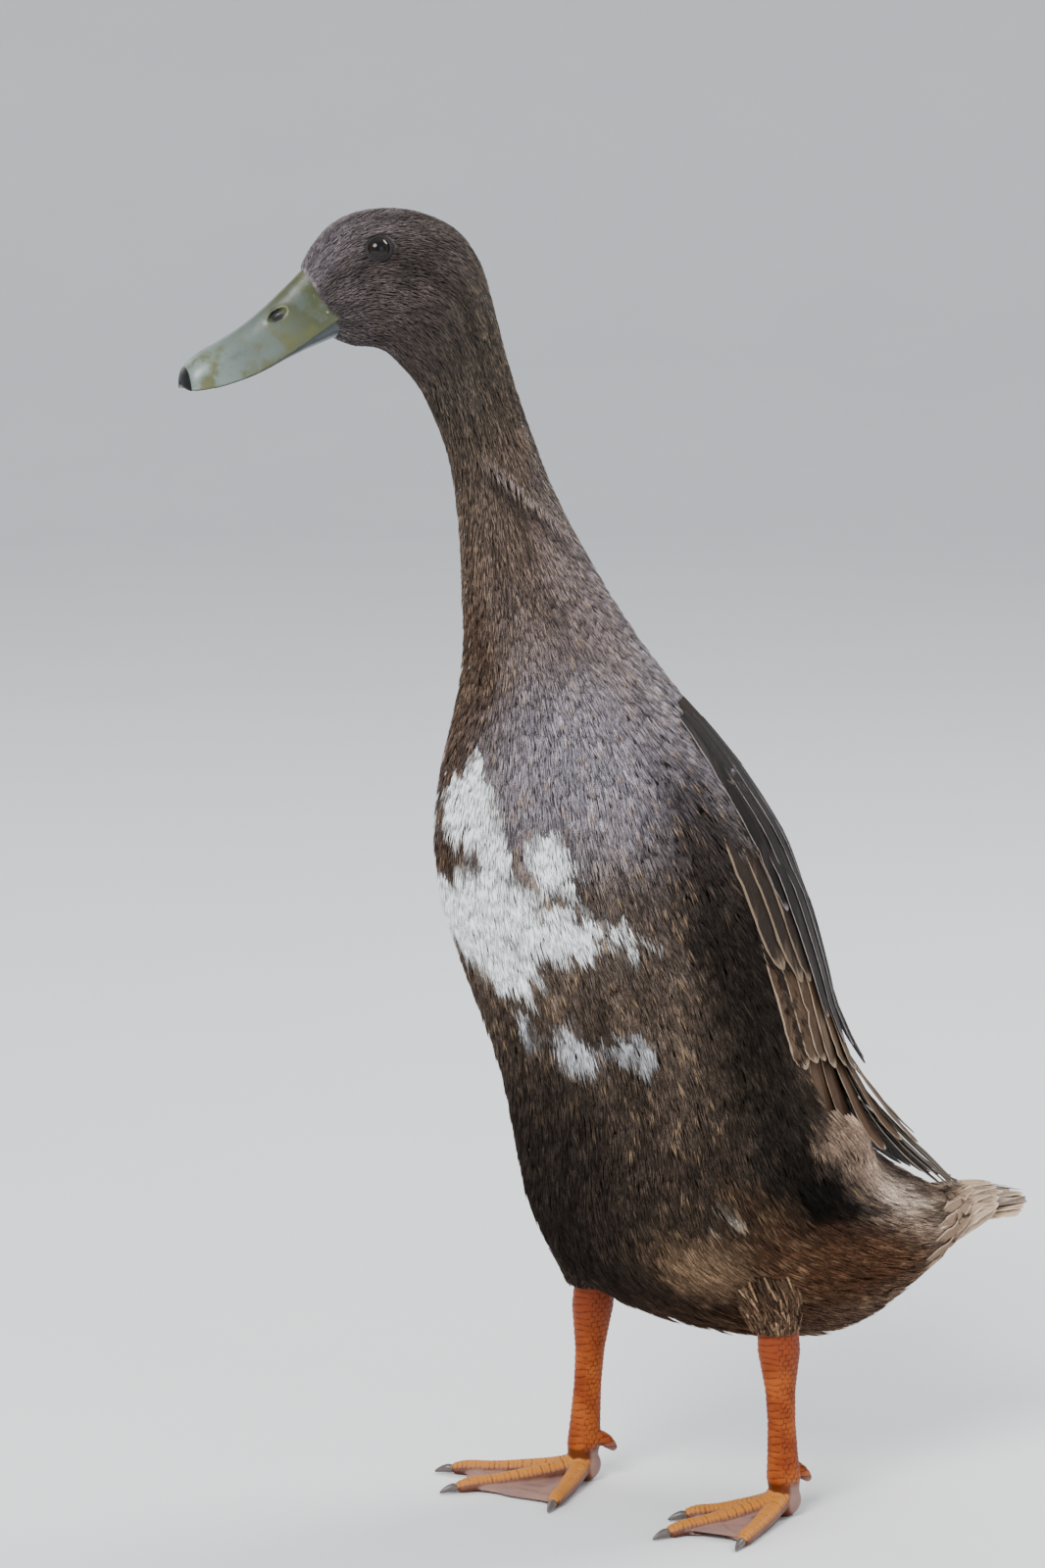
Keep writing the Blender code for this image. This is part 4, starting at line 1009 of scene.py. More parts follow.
def vane_arrays(centre, aside, normal, half, rng):
    """A closed slab along a centre line, with a raised shaft, a cupped vane and an uneven rim."""
    rows, columns = len(centre), len(VANE_EDGES)
    edge = VANE_EDGES[None, :]
    uneven = 1 + rng.normal(0, 0.035, (rows, columns)) * (np.abs(edge) > 0.9)
    for _ in range(rng.integers(0, 3)):
        k = rng.integers(rows // 2, rows - 2)
        side = rng.choice([-1, 1])
        uneven[k] = np.where(edge * side > 0.6, uneven[k] * 0.80, uneven[k])
    wide = edge * half[:, None] * uneven
    cup = -0.06 * half[:, None] * edge**2
    shaft = np.where(np.abs(edge) < 0.05, SHAFT_HEIGHT, 0.0) * MM * (1.1 - VANE_SHARES[:, None])
    middle = centre[:, None] + aside[:, None] * wide[..., None] + normal[:, None] * cup[..., None]
    thin = VANE_THICKNESS / 2 * MM * np.where(np.abs(edge) > 0.95, 0.45, 1.0)
    top = middle + normal[:, None] * (thin + shaft)[..., None]
    low = middle - normal[:, None] * (thin * np.ones((rows, 1)))[..., None]
    points = np.concatenate([top.reshape(-1, 3), low.reshape(-1, 3)])
    i, j = np.meshgrid(np.arange(rows - 1), np.arange(columns - 1), indexing="ij")
    a = (i * columns + j).ravel()
    b, c, d = a + 1, a + columns + 1, a + columns
    under = rows * columns
    faces = [np.stack([a, b, c], 1), np.stack([a, c, d], 1)]
    faces += [np.stack([a, c, b], 1) + under, np.stack([a, d, c], 1) + under]
    rim = [(r, 0) for r in range(rows)] + [(rows - 1, q) for q in range(1, columns)]
    rim += [(r, columns - 1) for r in range(rows - 2, -1, -1)] + [(0, q) for q in range(columns - 2, 0, -1)]
    index = np.array([r * columns + q for r, q in rim])
    after = np.roll(index, -1)
    faces += [np.stack([index, after, after + under], 1), np.stack([index, after + under, index + under], 1)]
    along = np.repeat(VANE_SHARES, columns)
    across = np.tile(VANE_EDGES * 0.5 + 0.5, rows)
    pick = np.full(rows * columns, rng.uniform(0, 1))
    strand = np.tile(np.stack([along, pick, across], -1), (2, 1))
    return points, np.concatenate(faces), strand


def wing_stands(t, angle):
    """How far, in millimetres, the wing's feathers stand off the rump."""
    return read_rows(WING_STANDS, t)[0] * (1 - smoothstep(np.abs(np.degrees(angle)), *STAND_FADES))


def body_vane(side, angle, root, tip, lifts, half_width, point, rises_by, slope, stands, rng):
    """The arrays of one feather lying along the body, sloped to lie over the one in front."""
    share = VANE_SHARES
    t = root + (tip - root) * share
    bend = rng.normal(0, 0.012)
    a = side * (angle + bend * share**2)
    lift = lifts[0] + (lifts[1] - lifts[0]) * np.minimum(1.0, share / rises_by)
    centre = on_body(np.minimum(t, LAST), a, (lift + stands(t, a)) * MM)
    _, normal, tailward, pace, _ = body_frame(np.minimum(t, LAST), a)
    centre = centre + tailward * (np.maximum(t - LAST, 0) * pace)[:, None]
    ahead = unit(np.gradient(centre, axis=0))
    aside = unit(np.cross(normal, ahead)) * side
    to_front = on_body(root, side * (angle + 0.05), 0) - on_body(root, side * angle, 0)
    back_edge_first = np.sign(np.sum(aside[0] * to_front))
    aside = aside * back_edge_first
    tilt = math.atan(slope)
    c, s = math.cos(tilt), math.sin(tilt)
    aside, normal = aside * c + normal * s, normal * c - aside * s
    half = half_width * MM * vane_half_width(share, point)
    points, faces, strand = vane_arrays(centre, aside, normal, half, rng)
    if side * back_edge_first < 0:
        faces = faces[:, ::-1]
    return points, faces, strand, place_of(root, side * angle)


def lies_flat(t, angle):
    """The tail's coverts stand off nothing."""
    return 0.0 * t


def vane_row(side, row, stands, rng):
    """The arrays of each feather of one row."""
    count, first, last, root_lift, width, point, rises_by, _ = row
    first, last = np.array(first, float), np.array(last, float)
    middle = (first + last) / 2
    half_way = curve_rows(SECTIONS, (middle[1] + middle[2]) / 2)[4] / MM
    spacing = math.radians(last[0] - first[0]) / (count - 1) * half_way
    drop = (first[3] - last[3]) / (count - 1)
    slope = max(0.0, VANE_THICKNESS + VANE_CLEARANCE - drop) / spacing
    for k in range(count):
        angle, root, tip, lift = first + (last - first) * k / (count - 1)
        tip += rng.normal(0, 0.03) * (tip - root)
        yield body_vane(side, math.radians(angle), root, tip, (root_lift, lift), width / 2, point,
                        rises_by, slope, stands, rng)


def join_vanes(name, vanes, material, slot):
    """One piece of a row of vanes."""
    arrays = []
    start = 0
    for points, faces, strand, where in vanes:
        count = len(points)
        t, angle = where[0] * LAST, math.atan2(where[1], where[2])
        uv = patch_uv(np.full(count, t), np.full(count, angle), strand[:, 0] - 0.5, strand[:, 2] - 0.5)
        arrays.append((points, faces + start, np.tile(where, (count, 1)), strand, uv))
        start += count
    mesh = joined_mesh(name, *(np.concatenate(kind) for kind in zip(*arrays)))
    bm = bmesh.new()
    bm.from_mesh(mesh)
    bmesh.ops.recalc_face_normals(bm, faces=bm.faces)
    bm.to_mesh(mesh)
    bm.free()
    mesh.set_sharp_from_angle(angle=math.radians(50))
    return new_object(name, mesh, material, slot)


def make_wing(suffix):
    """The folded wing: the bed under its feathers and every row of vanes."""
    side = SIDES[suffix]
    rng = np.random.default_rng(40 + side)

    def place(u, v):
        t = WING_BED[0][0] + (WING_BED[-1][0] - WING_BED[0][0]) * v
        first, last, thick = read_rows(WING_BED, t)
        upper, over = out_and_back(u)
        edge = np.clip(np.minimum(over, 1 - over) * 8, 0, 1)
        lift = np.where(upper, thick * edge, -4.0) * MM
        return on_body(t, side * np.radians(first + (last - first) * over), lift)

    bed = finished(grid_surface(48, 60, place), "wing_bed_" + suffix, "Wing bed", "wing_vanes")
    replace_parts(bed, "wing_" + suffix)
    for name, row in WING_ROWS.items():
        join_vanes(name + "_" + suffix, vane_row(side, row, wing_stands, rng), row[-1], "wing_vanes")


# The fan's feathers: how many; x, and y, z and the fall in z at the outermost, of their roots and
# tips; how far the outermost tips are drawn in; arch, tilt at the edge and step between neighbours.
TAIL_FEATHERS = 14
FAN_ROOTS, FAN_TIPS = (-158.0, 9, 123, 4.5), (-199.0, 14.5, 125.5, 6)
FAN_DRAWN_IN, FAN_ARCH, FAN_TILT, FAN_STEP, FAN_HALF_WIDTH = 9, 1.2, -0.30, 0.12, 5.4


def make_tail():
    """The tail's fan of feathers and the coverts above and under it."""
    rng = np.random.default_rng(60)
    vanes = []
    for k in range(TAIL_FEATHERS):
        g = 2 * k / (TAIL_FEATHERS - 1) - 1
        start, end = (np.array((x, y * g, z - fall * abs(g))) for x, y, z, fall in (FAN_ROOTS, FAN_TIPS))
        end[0] += FAN_DRAWN_IN * g * g
        centre = (start + (end - start) * VANE_SHARES[:, None]) * MM
        centre[:, 2] += FAN_ARCH * MM * np.sin(VANE_SHARES * math.pi)
        tilt = FAN_TILT * g + (FAN_STEP if k % 2 else 0.0)
        aside = np.tile((0.0, math.cos(tilt), math.sin(tilt)), (len(centre), 1))
        normal = np.tile((0.0, -math.sin(tilt), math.cos(tilt)), (len(centre), 1))
        half = FAN_HALF_WIDTH * MM * vane_half_width(VANE_SHARES, 0.5)
        vanes.append((*vane_arrays(centre, aside, normal, half, rng), place_of(31.0, math.pi * 0.5 * g)))
    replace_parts(join_vanes("tail_fan", vanes, "Tail vanes", "tail_vanes"), "tail")
    for name, row in TAIL_COVERT_ROWS.items():
        for suffix, side in SIDES.items():
            coverts = vane_row(side, row, lies_flat, rng)
            join_vanes("tail_" + name + "_" + suffix, coverts, row[-1], "tail_vanes")


# Each leg, in millimetres: its hock, its ankle over the toes, and each toe's reach from the ankle.
LEGS = {
    "L": {"hock": (-58, 41, 77), "ankle": (-62, 39, 16),
          "toes": {"inner": (46, -9), "middle": (64, 12), "outer": (38, 37)}},
    "R": {"hock": (-4, -40, 84), "ankle": (0, -42, 16),
          "toes": {"inner": (31, 37), "middle": (64, -3), "outer": (55, -32)}},
}
# Sections of the shank: share of the way from hock to ankle, half its depth and half its width.
SHANK = [
    (-0.16, 9.4, 8.0), (0.00, 9.2, 7.9), (0.10, 9.5, 8.1), (0.22, 8.3, 6.9), (0.38, 6.7, 5.6),
    (0.60, 6.2, 5.2), (0.82, 6.8, 5.8), (1.00, 7.5, 6.9), (1.10, 7.0, 6.6),
]
# How far over the leg's two points the shank's line runs.
HOCK_RISE, ANKLE_RISE = (0, 0, 5.6), (0, 0, 1.0)
# Sections of a toe: share of its reach, height of its middle and radius.
TOE = [
    (0.0, 8.4, 5.2), (0.2, 5.9, 4.5), (0.42, 4.3, 4.3), (0.64, 3.5, 3.7), (0.84, 3.3, 3.6), (0.96, 2.3, 2.4),
]
TOE_RADII = [row[2] for row in TOE]
# The ball where the toes meet: its middle from the ankle, and its radii.
TOE_JOINT = ((0, 0, -8.7), (8.2, 7.4, 8.1))
# Sections of the hind toe, from its root, and of a claw, from the toe's tip: out, down and radius.
HALLUX_ROOT = (-5.0, -3.0, 5.0)
HALLUX = [(0, 0, 3.0), (3.5, 2.0, 3.2), (7, 5.0, 2.6), (9.5, 7.6, 1.5)]
CLAW = [(0, 0.1, 1.7), (2.2, -0.1, 1.85), (4.6, 0.3, 1.45), (6.6, 0.95, 0.95), (8.4, 1.75, 0.35)]
# Sections of the thigh's cone: height over the hock, how far ahead and inward, and radius.
THIGH = [(9, 1.5, 1, 10.5), (15, 2.5, 1.5, 12.5), (21, 4, 3, 14.5), (30, 7, 6, 17.0), (42, 10, 12, 20)]
# Length of the cone's middle line, and how many strands hang on it.
THIGH_LENGTH, THIGH_STRANDS = 34.0, 1500
# Where on the body each thigh takes its colours from: section and angle.
THIGH_PLACES = {"L": (25.6, 2.2), "R": (24.0, -2.9)}
# How deep under the cone its skin and the roots of its strands lie.
THIGH_SKIN_DEPTH, THIGH_ROOT_DEPTH = 3.4, 3.8
# The web: the share of the toes where it starts and how far it runs, how much its front edge is
# drawn in to the heel, half of its thickness and its least height.
WEB_START, WEB_RUN, WEB_DRAWN_IN, WEB_HALF, WEB_LOW = 0.08, 0.80, 0.15, 0.85, 1.9
# Size of the steps in which the leg's parts are made one skin.
SKIN_VOXEL = 0.55 * MM
# Height of the scales over the leg's skin, how deep it is set for them, and their pitches: of the
# rings down the shank's front, of the plates down and round its back, of the rings along the toes
# and of the web's grains.
SCALE_HEIGHT, SCALE_SINK = 0.40, 0.15
FRONT_PITCH, BACK_PITCHES, TOE_PITCH, WEB_PITCH = 3.1, (2.3, 2.6), 2.15, 1.25


def polyline(points, share):
    """Points at shares of a polyline, smoothed through its corners."""
    points = np.asarray(points, float)
    return curve_rows(points, np.clip(np.asarray(share), 0, 1) * (len(points) - 1))


def toe_path(leg, reach):
    """The middle line of a toe."""
    x, y, _ = leg["ankle"]
    return np.array([(x + reach[0] * share, y + reach[1] * share, z) for share, z, _ in TOE])


def tube_surface(path, radii, columns, rows, flat=1.0):
    """A closed round tube along a path in millimetres, as a bmesh."""
    path, radii = np.asarray(path, float), np.asarray(radii, float)[:, None]

    def place(u, v):
        centre = polyline(path, v)
        ahead = unit(polyline(path, v + 0.02) - polyline(path, v - 0.02) + 1e-9)
        run = path[-1] - path[0]
        steady = np.array([1.0, 0, 0]) if abs(run[2]) > 0.7 * np.linalg.norm(run) else np.array([0, 0, 1.0])
        aside = unit(np.cross(steady, ahead))
        up = np.cross(ahead, aside)
        radius = polyline(radii, v) * np.sqrt(np.clip((1 - v) / 0.06, 0.02, 1))[:, None]
        a = (u * 2 * math.pi)[:, None]
        return (centre + (aside * np.cos(a) + up * np.sin(a) * flat) * radius) * MM

    return grid_surface(columns, rows, place)


def web_surface(first, second):
    """The skin between two toes, with a hollow front edge, as a thin closed slab."""
    heel = first[0]

    def place(u, v):
        upper, over = out_and_back(v)
        along = WEB_START + WEB_RUN * u
        a, b = polyline(first, along), polyline(second, along)
        g = over[:, None]
        droop = np.sin(math.pi * g)
        p = a + (b - a) * g
        p = p + (heel - p) * [1, 1, 0] * WEB_DRAWN_IN * droop * along[:, None]
        ripple = 0.35 * np.sin(along * 34)[:, None] * droop * smoothstep(along, 0.25, 0.6)[:, None]
        z = np.maximum(WEB_LOW, p[:, 2:3] * (1 - 0.40 * droop) - 0.5) + ripple
        thick = WEB_HALF * np.where(upper, 1, -1)[:, None]
        return np.concatenate([p[:, :2], z + thick], 1) * MM

    return grid_surface(40, 60, place)


def leg_shell(leg):
    """All of a bare leg's parts in one mesh, before they are made one skin, and its toes' lines."""
    hock, ankle = np.array(leg["hock"], float), np.array(leg["ankle"], float)
    top, foot = hock + HOCK_RISE, ankle + ANKLE_RISE

    def shank(u, v):
        share = SHANK[0][0] + (SHANK[-1][0] - SHANK[0][0]) * v
        deep, wide = read_rows(SHANK, share)
        a = u * 2 * math.pi
        centre = top + (foot - top) * share[:, None]
        return (centre + np.stack([deep * np.cos(a), wide * np.sin(a), 0 * a], -1)) * MM

    paths = {name: toe_path(leg, reach) for name, reach in leg["toes"].items()}
    parts = [grid_surface(48, 60, shank)]
    parts += [tube_surface(path, TOE_RADII, 24, 60, 0.92) for path in paths.values()]
    parts.append(web_surface(paths["inner"], paths["middle"]))
    parts.append(web_surface(paths["middle"], paths["outer"]))
    side = 1 if ankle[1] > 0 else -1
    root = ankle + np.array(HALLUX_ROOT) * (1, side, 1)
    hallux = [root - (out, 0, down) for out, down, _ in HALLUX]
    parts.append(tube_surface(hallux, [row[2] for row in HALLUX], 16, 24))
    joint = bmesh.new()
    bmesh.ops.create_uvsphere(joint, u_segments=32, v_segments=20, radius=1.0)
    bmesh.ops.scale(joint, verts=joint.verts, vec=[r * MM for r in TOE_JOINT[1]])
    bmesh.ops.translate(joint, verts=joint.verts, vec=(ankle + TOE_JOINT[0]) * MM)
    parts.append(joint)
    whole = bmesh.new()
    for part in parts:
        mesh = mesh_of(part, "part")
        whole.from_mesh(mesh)
        bpy.data.meshes.remove(mesh)
    return whole, paths


def remeshed(bm, voxel):
    """One closed skin over everything in the bmesh, smoothed, as a new bmesh."""
    mesh = mesh_of(bm, "shell")
    obj = linked("shell", mesh)
    modifier = obj.modifiers.new("skin", "REMESH")
    modifier.mode = "VOXEL"
    modifier.voxel_size = voxel
    graph = bpy.context.evaluated_depsgraph_get()
    made = bpy.data.meshes.new_from_object(obj.evaluated_get(graph))
    bpy.data.objects.remove(obj)
    bpy.data.meshes.remove(mesh)
    bm = bmesh.new()
    bm.from_mesh(made)
    bpy.data.meshes.remove(made)
    for _ in range(3):
        bmesh.ops.smooth_vert(
            bm, verts=bm.verts, factor=0.5, use_axis_x=True, use_axis_y=True, use_axis_z=True)
    bmesh.ops.recalc_face_normals(bm, faces=bm.faces)
    return bm


def plates(along, across, pitch_along, pitch_across):
    """Height 0 to 1 of rounded plates set in staggered rows."""
    row = np.floor(along / pitch_along)
    x = across / pitch_across + 0.5 * (row % 2)
    fx = np.abs(x - np.floor(x) - 0.5) * 2
    fy = np.abs(along / pitch_along - row - 0.5) * 2
    return 1 - np.clip(np.maximum(fx, fy), 0, 1) ** 3.5


def leg_relief(points, normals, leg, paths):
    """Height of the scales and how far each point is web, toe or shank, from where it is."""
    mm = points / MM
    hock, ankle = np.array(leg["hock"], float) + HOCK_RISE, np.array(leg["ankle"], float)
    share = (mm[:, 2] - ankle[2]) / (hock[2] - ankle[2])
    axis = ankle + (hock - ankle) * share[:, None]
    around = np.arctan2(mm[:, 1] - axis[:, 1], mm[:, 0] - axis[:, 0])
    shank = smoothstep(mm[:, 2], 13, 19)
    wobble = 0.5 * np.sin(around * 3 + mm[:, 2] * 0.4)
    front = 1 - np.abs(((mm[:, 2] + wobble) / FRONT_PITCH) % 1.0 * 2 - 1) ** 3.5
    back = plates(mm[:, 2] + wobble, around * 6.8, *BACK_PITCHES)
    in_front = smoothstep(np.cos(around), 0.35, 0.6)
    shank_height = front * in_front + back * (1 - in_front)
    toe_height = np.zeros(len(points))
    nearest = np.full(len(points), 1e9)
    for path in paths.values():
        shares = np.linspace(0, 1, 120)
        dense = polyline(path, shares)
        steps = np.linalg.norm(np.diff(dense, axis=0), axis=1)
        reach = np.concatenate([[0], np.cumsum(steps)])
        radii = polyline(np.array(TOE_RADII, float)[:, None], shares)[:, 0]
        gap = np.linalg.norm(mm[:, None, :2] - dense[None, :, :2], axis=2)
        k = np.argmin(gap, axis=1)
        off = gap[np.arange(len(points)), k] / radii[k]
        height = 1 - (np.abs((reach[k] / TOE_PITCH) % 1.0 - 0.5) * 2) ** 4
        closer = off < nearest
        toe_height = np.where(closer, height, toe_height)
        nearest = np.where(closer, off, nearest)
    toe = 1 - smoothstep(nearest, 0.75, 1.15)
    top = smoothstep(normals[:, 2], -0.1, 0.4)
    web = (1 - toe) * (1 - shank)
    height = (shank_height * shank + toe_height * toe * (1 - shank) * top) * SCALE_HEIGHT
    height += plates(mm[:, 0] + 0.3 * mm[:, 1], mm[:, 1], WEB_PITCH, WEB_PITCH) * web * 0.07
    return height * MM, web, toe * (1 - shank), top


def make_leg(suffix):
    """The bare leg and foot in one scaled skin, with its claws."""
    leg = LEGS[suffix]
    shell, paths = leg_shell(leg)
    bm = remeshed(shell, SKIN_VOXEL)
    bm.normal_update()
    points = np.array([v.co for v in bm.verts])
    normals = np.array([v.normal for v in bm.verts])
    height, web, toe, top = leg_relief(points, normals, leg, paths)
    moved = points + normals * (height - SCALE_SINK * MM)[:, None]
    moved[:, 2] = np.maximum(moved[:, 2], 0.0)
    for vert, point in zip(bm.verts, moved):
        vert.co = point
    skin = finished(bm, "leg_skin_" + suffix, "Leg skin", "leg_scales")
    add_vectors(skin.data, "scales", np.stack([web, toe * top, height / (SCALE_HEIGHT * MM)], -1))
    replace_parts(skin, "shank_" + suffix, "foot_" + suffix, "hallux_" + suffix)
    for name, path in paths.items():
        make_claw(f"claw_{name}_{suffix}", path)


def make_claw(node, path):
    """A curved, tapered claw over the toe's tip, where the solid claw is."""
    ahead = unit((path[-1] - path[-2]) * (1, 1, 0))
    start = path[-1] + ahead * -1.0 + (0, 0, 0.3)
    line = [start + ahead * out - (0, 0, down) for out, down, _ in CLAW]
    bm = tube_surface(line, [row[2] for row in CLAW], 16, 20, 1.1)
    for vert in bm.verts:
        vert.co.z = max(vert.co.z, 0.1 * MM)
    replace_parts(finished(bm, node + "_horn", "Claw horn", "claw_horn"), node)


def make_thigh(suffix):
    """Loose feathers hanging round the leg over the hock, on a cone of skin."""
    leg, side = LEGS[suffix], SIDES[suffix]
    rng = np.random.default_rng(70 + side)
    hock = np.array(leg["hock"], float)
    rows = np.array(THIGH, float)
    axis = hock + np.stack([rows[:, 1], -rows[:, 2] * side, rows[:, 0]], -1)
    radii = rows[:, 3:4]

    def cone(share, angle, lift):
        centre, radius = polyline(axis, share), polyline(radii, share)
        out = np.stack([np.cos(angle), np.sin(angle), 0 * angle], -1)
        return (centre + out * (radius + lift[..., None])) * MM, out

    def place(u, v):
        return cone(v * 0.98 + 0.02, u * 2 * math.pi, np.full(len(u), -THIGH_SKIN_DEPTH))[0]

    bm = grid_surface(40, 24, place)
    core = finished(bm, "thigh_skin_" + suffix, "Skin under the coat", "belly_plumage")
    count = len(core.data.vertices)
    t, a = THIGH_PLACES[suffix]
    plumage_values(core.data, np.full(count, t), np.full(count, a))
    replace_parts(core, "thigh_" + suffix)
    n = THIGH_STRANDS
    share, angle = rng.uniform(0.15, 0.95, n), rng.uniform(0, 2 * math.pi, n)
    length = np.minimum(rng.uniform(9, 14, n), (share + 0.03) * THIGH_LENGTH)
    stations = STRAND_SHARES[None, :]
    drop = share[:, None] - length[:, None] * stations / THIGH_LENGTH
    turn = angle[:, None] + rng.normal(0, 0.12, n)[:, None] * stations
    settle = np.clip(stations / STRAND_SHARES[1], 0, 1)
    lift = settle * rng.uniform(-1.6, 0.6, n)[:, None] - THIGH_ROOT_DEPTH * (1 - settle)
    lift = lift - 9.6 * np.clip(-drop, 0, 1)
    centre, out = cone(drop, turn, lift)
    centre[..., 2] += np.minimum(drop, 0) * THIGH_LENGTH * MM
    width = rng.uniform(1.0, 1.6, n) * MM
    points, faces = strand_mesh(centre, out, width)
    strand, along, aside = strand_values(STRAND_SHARES, rng.uniform(0, 1, n), rng.uniform(0, 1, n))
    t, a = t + rng.normal(0, 0.3, n), a + rng.normal(0, 0.15, n)
    u = 0.01 + 0.98 * angle[:, None] / (2 * math.pi) + UV_PATCH * aside
    v = 0.01 + 0.97 * share[:, None] + UV_PATCH * (along - 0.5)
    uv = np.stack([u, v], -1).reshape(-1, 2)
    where = np.repeat(place_of(t, a), along.shape[1], axis=0)
    mesh = joined_mesh("thigh_feathers_" + suffix, points, faces, where, strand, uv)
    new_object(mesh.name, mesh, "Body feathers", "belly_plumage")


def vane_group():
    """Colour and relief of a feather's vane: ground, barbs, shaft and a pale rim."""
    inputs = [
        ("NodeSocketVector", "Strand", None),
        ("NodeSocketColor", "Ground", (0.05, 0.04, 0.03, 1)),
        ("NodeSocketColor", "Rim", (0.4, 0.3, 0.2, 1)),
        ("NodeSocketFloat", "Rim width", 0.1),
        ("NodeSocketFloat", "Rim strength", 0.8),
        ("NodeSocketColor", "Fleck", (0.2, 0.15, 0.1, 1)),
        ("NodeSocketFloat", "Flecks", 0.3),
    ]
    group = node_group("Feather vane", inputs, [("NodeSocketColor", "Color"), ("NodeSocketFloat", "Height")])
    g = Graph(group)
    source = g.node("NodeGroupInput").outputs
    along, pick, across = g.split(source["Strand"])
    edge = g.math("ABSOLUTE", g.math("MULTIPLY_ADD", across, 2.0, -1.0))
    slanted = g.math("MULTIPLY_ADD", along, 3.0, g.math("MULTIPLY", edge, -0.45))
    position = g.join(slanted, g.math("MULTIPLY", across, 0.6), g.math("MULTIPLY", pick, 7.0))
    barbs = g.noise(position, 26.0, 2.0, 0.6)["Fac"]
    clouds = g.noise(position, 1.6, 3.0, 0.6)["Fac"]
    tone = g.product(g.smooth(barbs, 0.3, 0.7, 0.72, 1.22), g.math("MULTIPLY_ADD", pick, 0.4, 0.8))
    colour = g.shade(source["Ground"], tone)
    flecks = g.product(g.smooth(clouds, 0.50, 0.68), source["Flecks"])
    side_rim = g.rest(source["Rim width"])
    end_rim = g.rest(g.math("MULTIPLY", source["Rim width"], 0.5))
    ragged = g.math("MULTIPLY_ADD", barbs, 0.10, g.math("MULTIPLY_ADD", clouds, 0.12, -0.10))
    at_side = g.smooth(g.math("ADD", edge, ragged), side_rim, g.math("ADD", side_rim, 0.07))
    at_end = g.smooth(g.math("ADD", along, ragged), end_rim, 1.0)
    rim = g.product(g.math("MAXIMUM", at_side, at_end), source["Rim strength"])
    shaft = g.product(g.smooth(edge, 0.09, 0.04), 0.7)
    colour = g.paint(
        colour, (flecks, source["Fleck"]), (rim, source["Rim"]), (shaft, (0.020, 0.013, 0.010)))
    g.node("NodeGroupOutput", {"Color": colour, "Height": barbs})
    return group


def vane_material(name, row):
    """A vane's material, from a row of VANES."""
    *values, roughness = row
    _, g, shader = plain_shader(name, roughness, 0.05)
    group = g.node("ShaderNodeGroup", node_tree=bpy.data.node_groups["Feather vane"])
    g.feed(group, "Strand", g.attribute("strand"))
    for key, value in zip(VANE_INPUTS, values):
        g.feed(group, key, value)
    g.feed(shader, "Base Color", group.outputs["Color"])
    g.feed(shader, "Normal", g.bump(group.outputs["Height"], 0.35, 0.3 * MM))


def object_place(g):
    """Place in the object, in metres."""
    return g.node("ShaderNodeTexCoord").outputs["Object"]


def eye_material():
    """Dark brown iris round a black pupil, under a wet gloss."""
    _, g, shader = plain_shader("Eye", 0.05, 0.25)
    gaze = g.attribute("gaze")
    ahead, up, _ = g.split(gaze)
    radius = g.math("SQRT", g.math("ADD", g.math("POWER", ahead, 2.0), g.math("POWER", up, 2.0)))
    rays = g.noise(gaze, 900.0, 2.0)["Fac"]
    iris = g.mix(rays, (0.005, 0.003, 0.002), (0.012, 0.007, 0.004))
    iris = g.mix(g.smooth(radius, 3.4 * MM, 4.2 * MM), iris, (0.006, 0.004, 0.003))
    colour = g.mix(g.smooth(radius, 1.9 * MM, 2.3 * MM), (0.002, 0.002, 0.002), iris)
    g.feed(shader, "Base Color", colour)


# Materials of one speckle: roughness, specular level, size of the speckle as a scale of its noise,
# its two colours, and the strength and depth of its relief.
SPECKLED = {
    "Lid skin": (0.6, 0.15, 900.0, (0.010, 0.009, 0.010), (0.034, 0.030, 0.031), 0.4, 0.2),
    "Lower bill horn": (0.35, 0.5, 300.0, (0.020, 0.028, 0.032), (0.045, 0.058, 0.064), 0.2, 0.2),
    "Bill nail": (0.3, 0.2, 500.0, (0.004, 0.004, 0.005), (0.012, 0.012, 0.012), 0.15, 0.15),
    "Claw horn": (0.35, 0.5, 600.0, (0.045, 0.038, 0.036), (0.140, 0.110, 0.100), 0.2, 0.1),
}


def speckled_material(name, roughness, specular, scale, dark, light, strength, depth):
    """Horn or skin in two colours."""
    _, g, shader = plain_shader(name, roughness, specular)
    speckle = g.noise(object_place(g), scale, 3.0)["Fac"]
    g.feed(shader, "Base Color", g.mix(speckle, dark, light))
    g.feed(shader, "Normal", g.bump(speckle, strength, depth * MM))


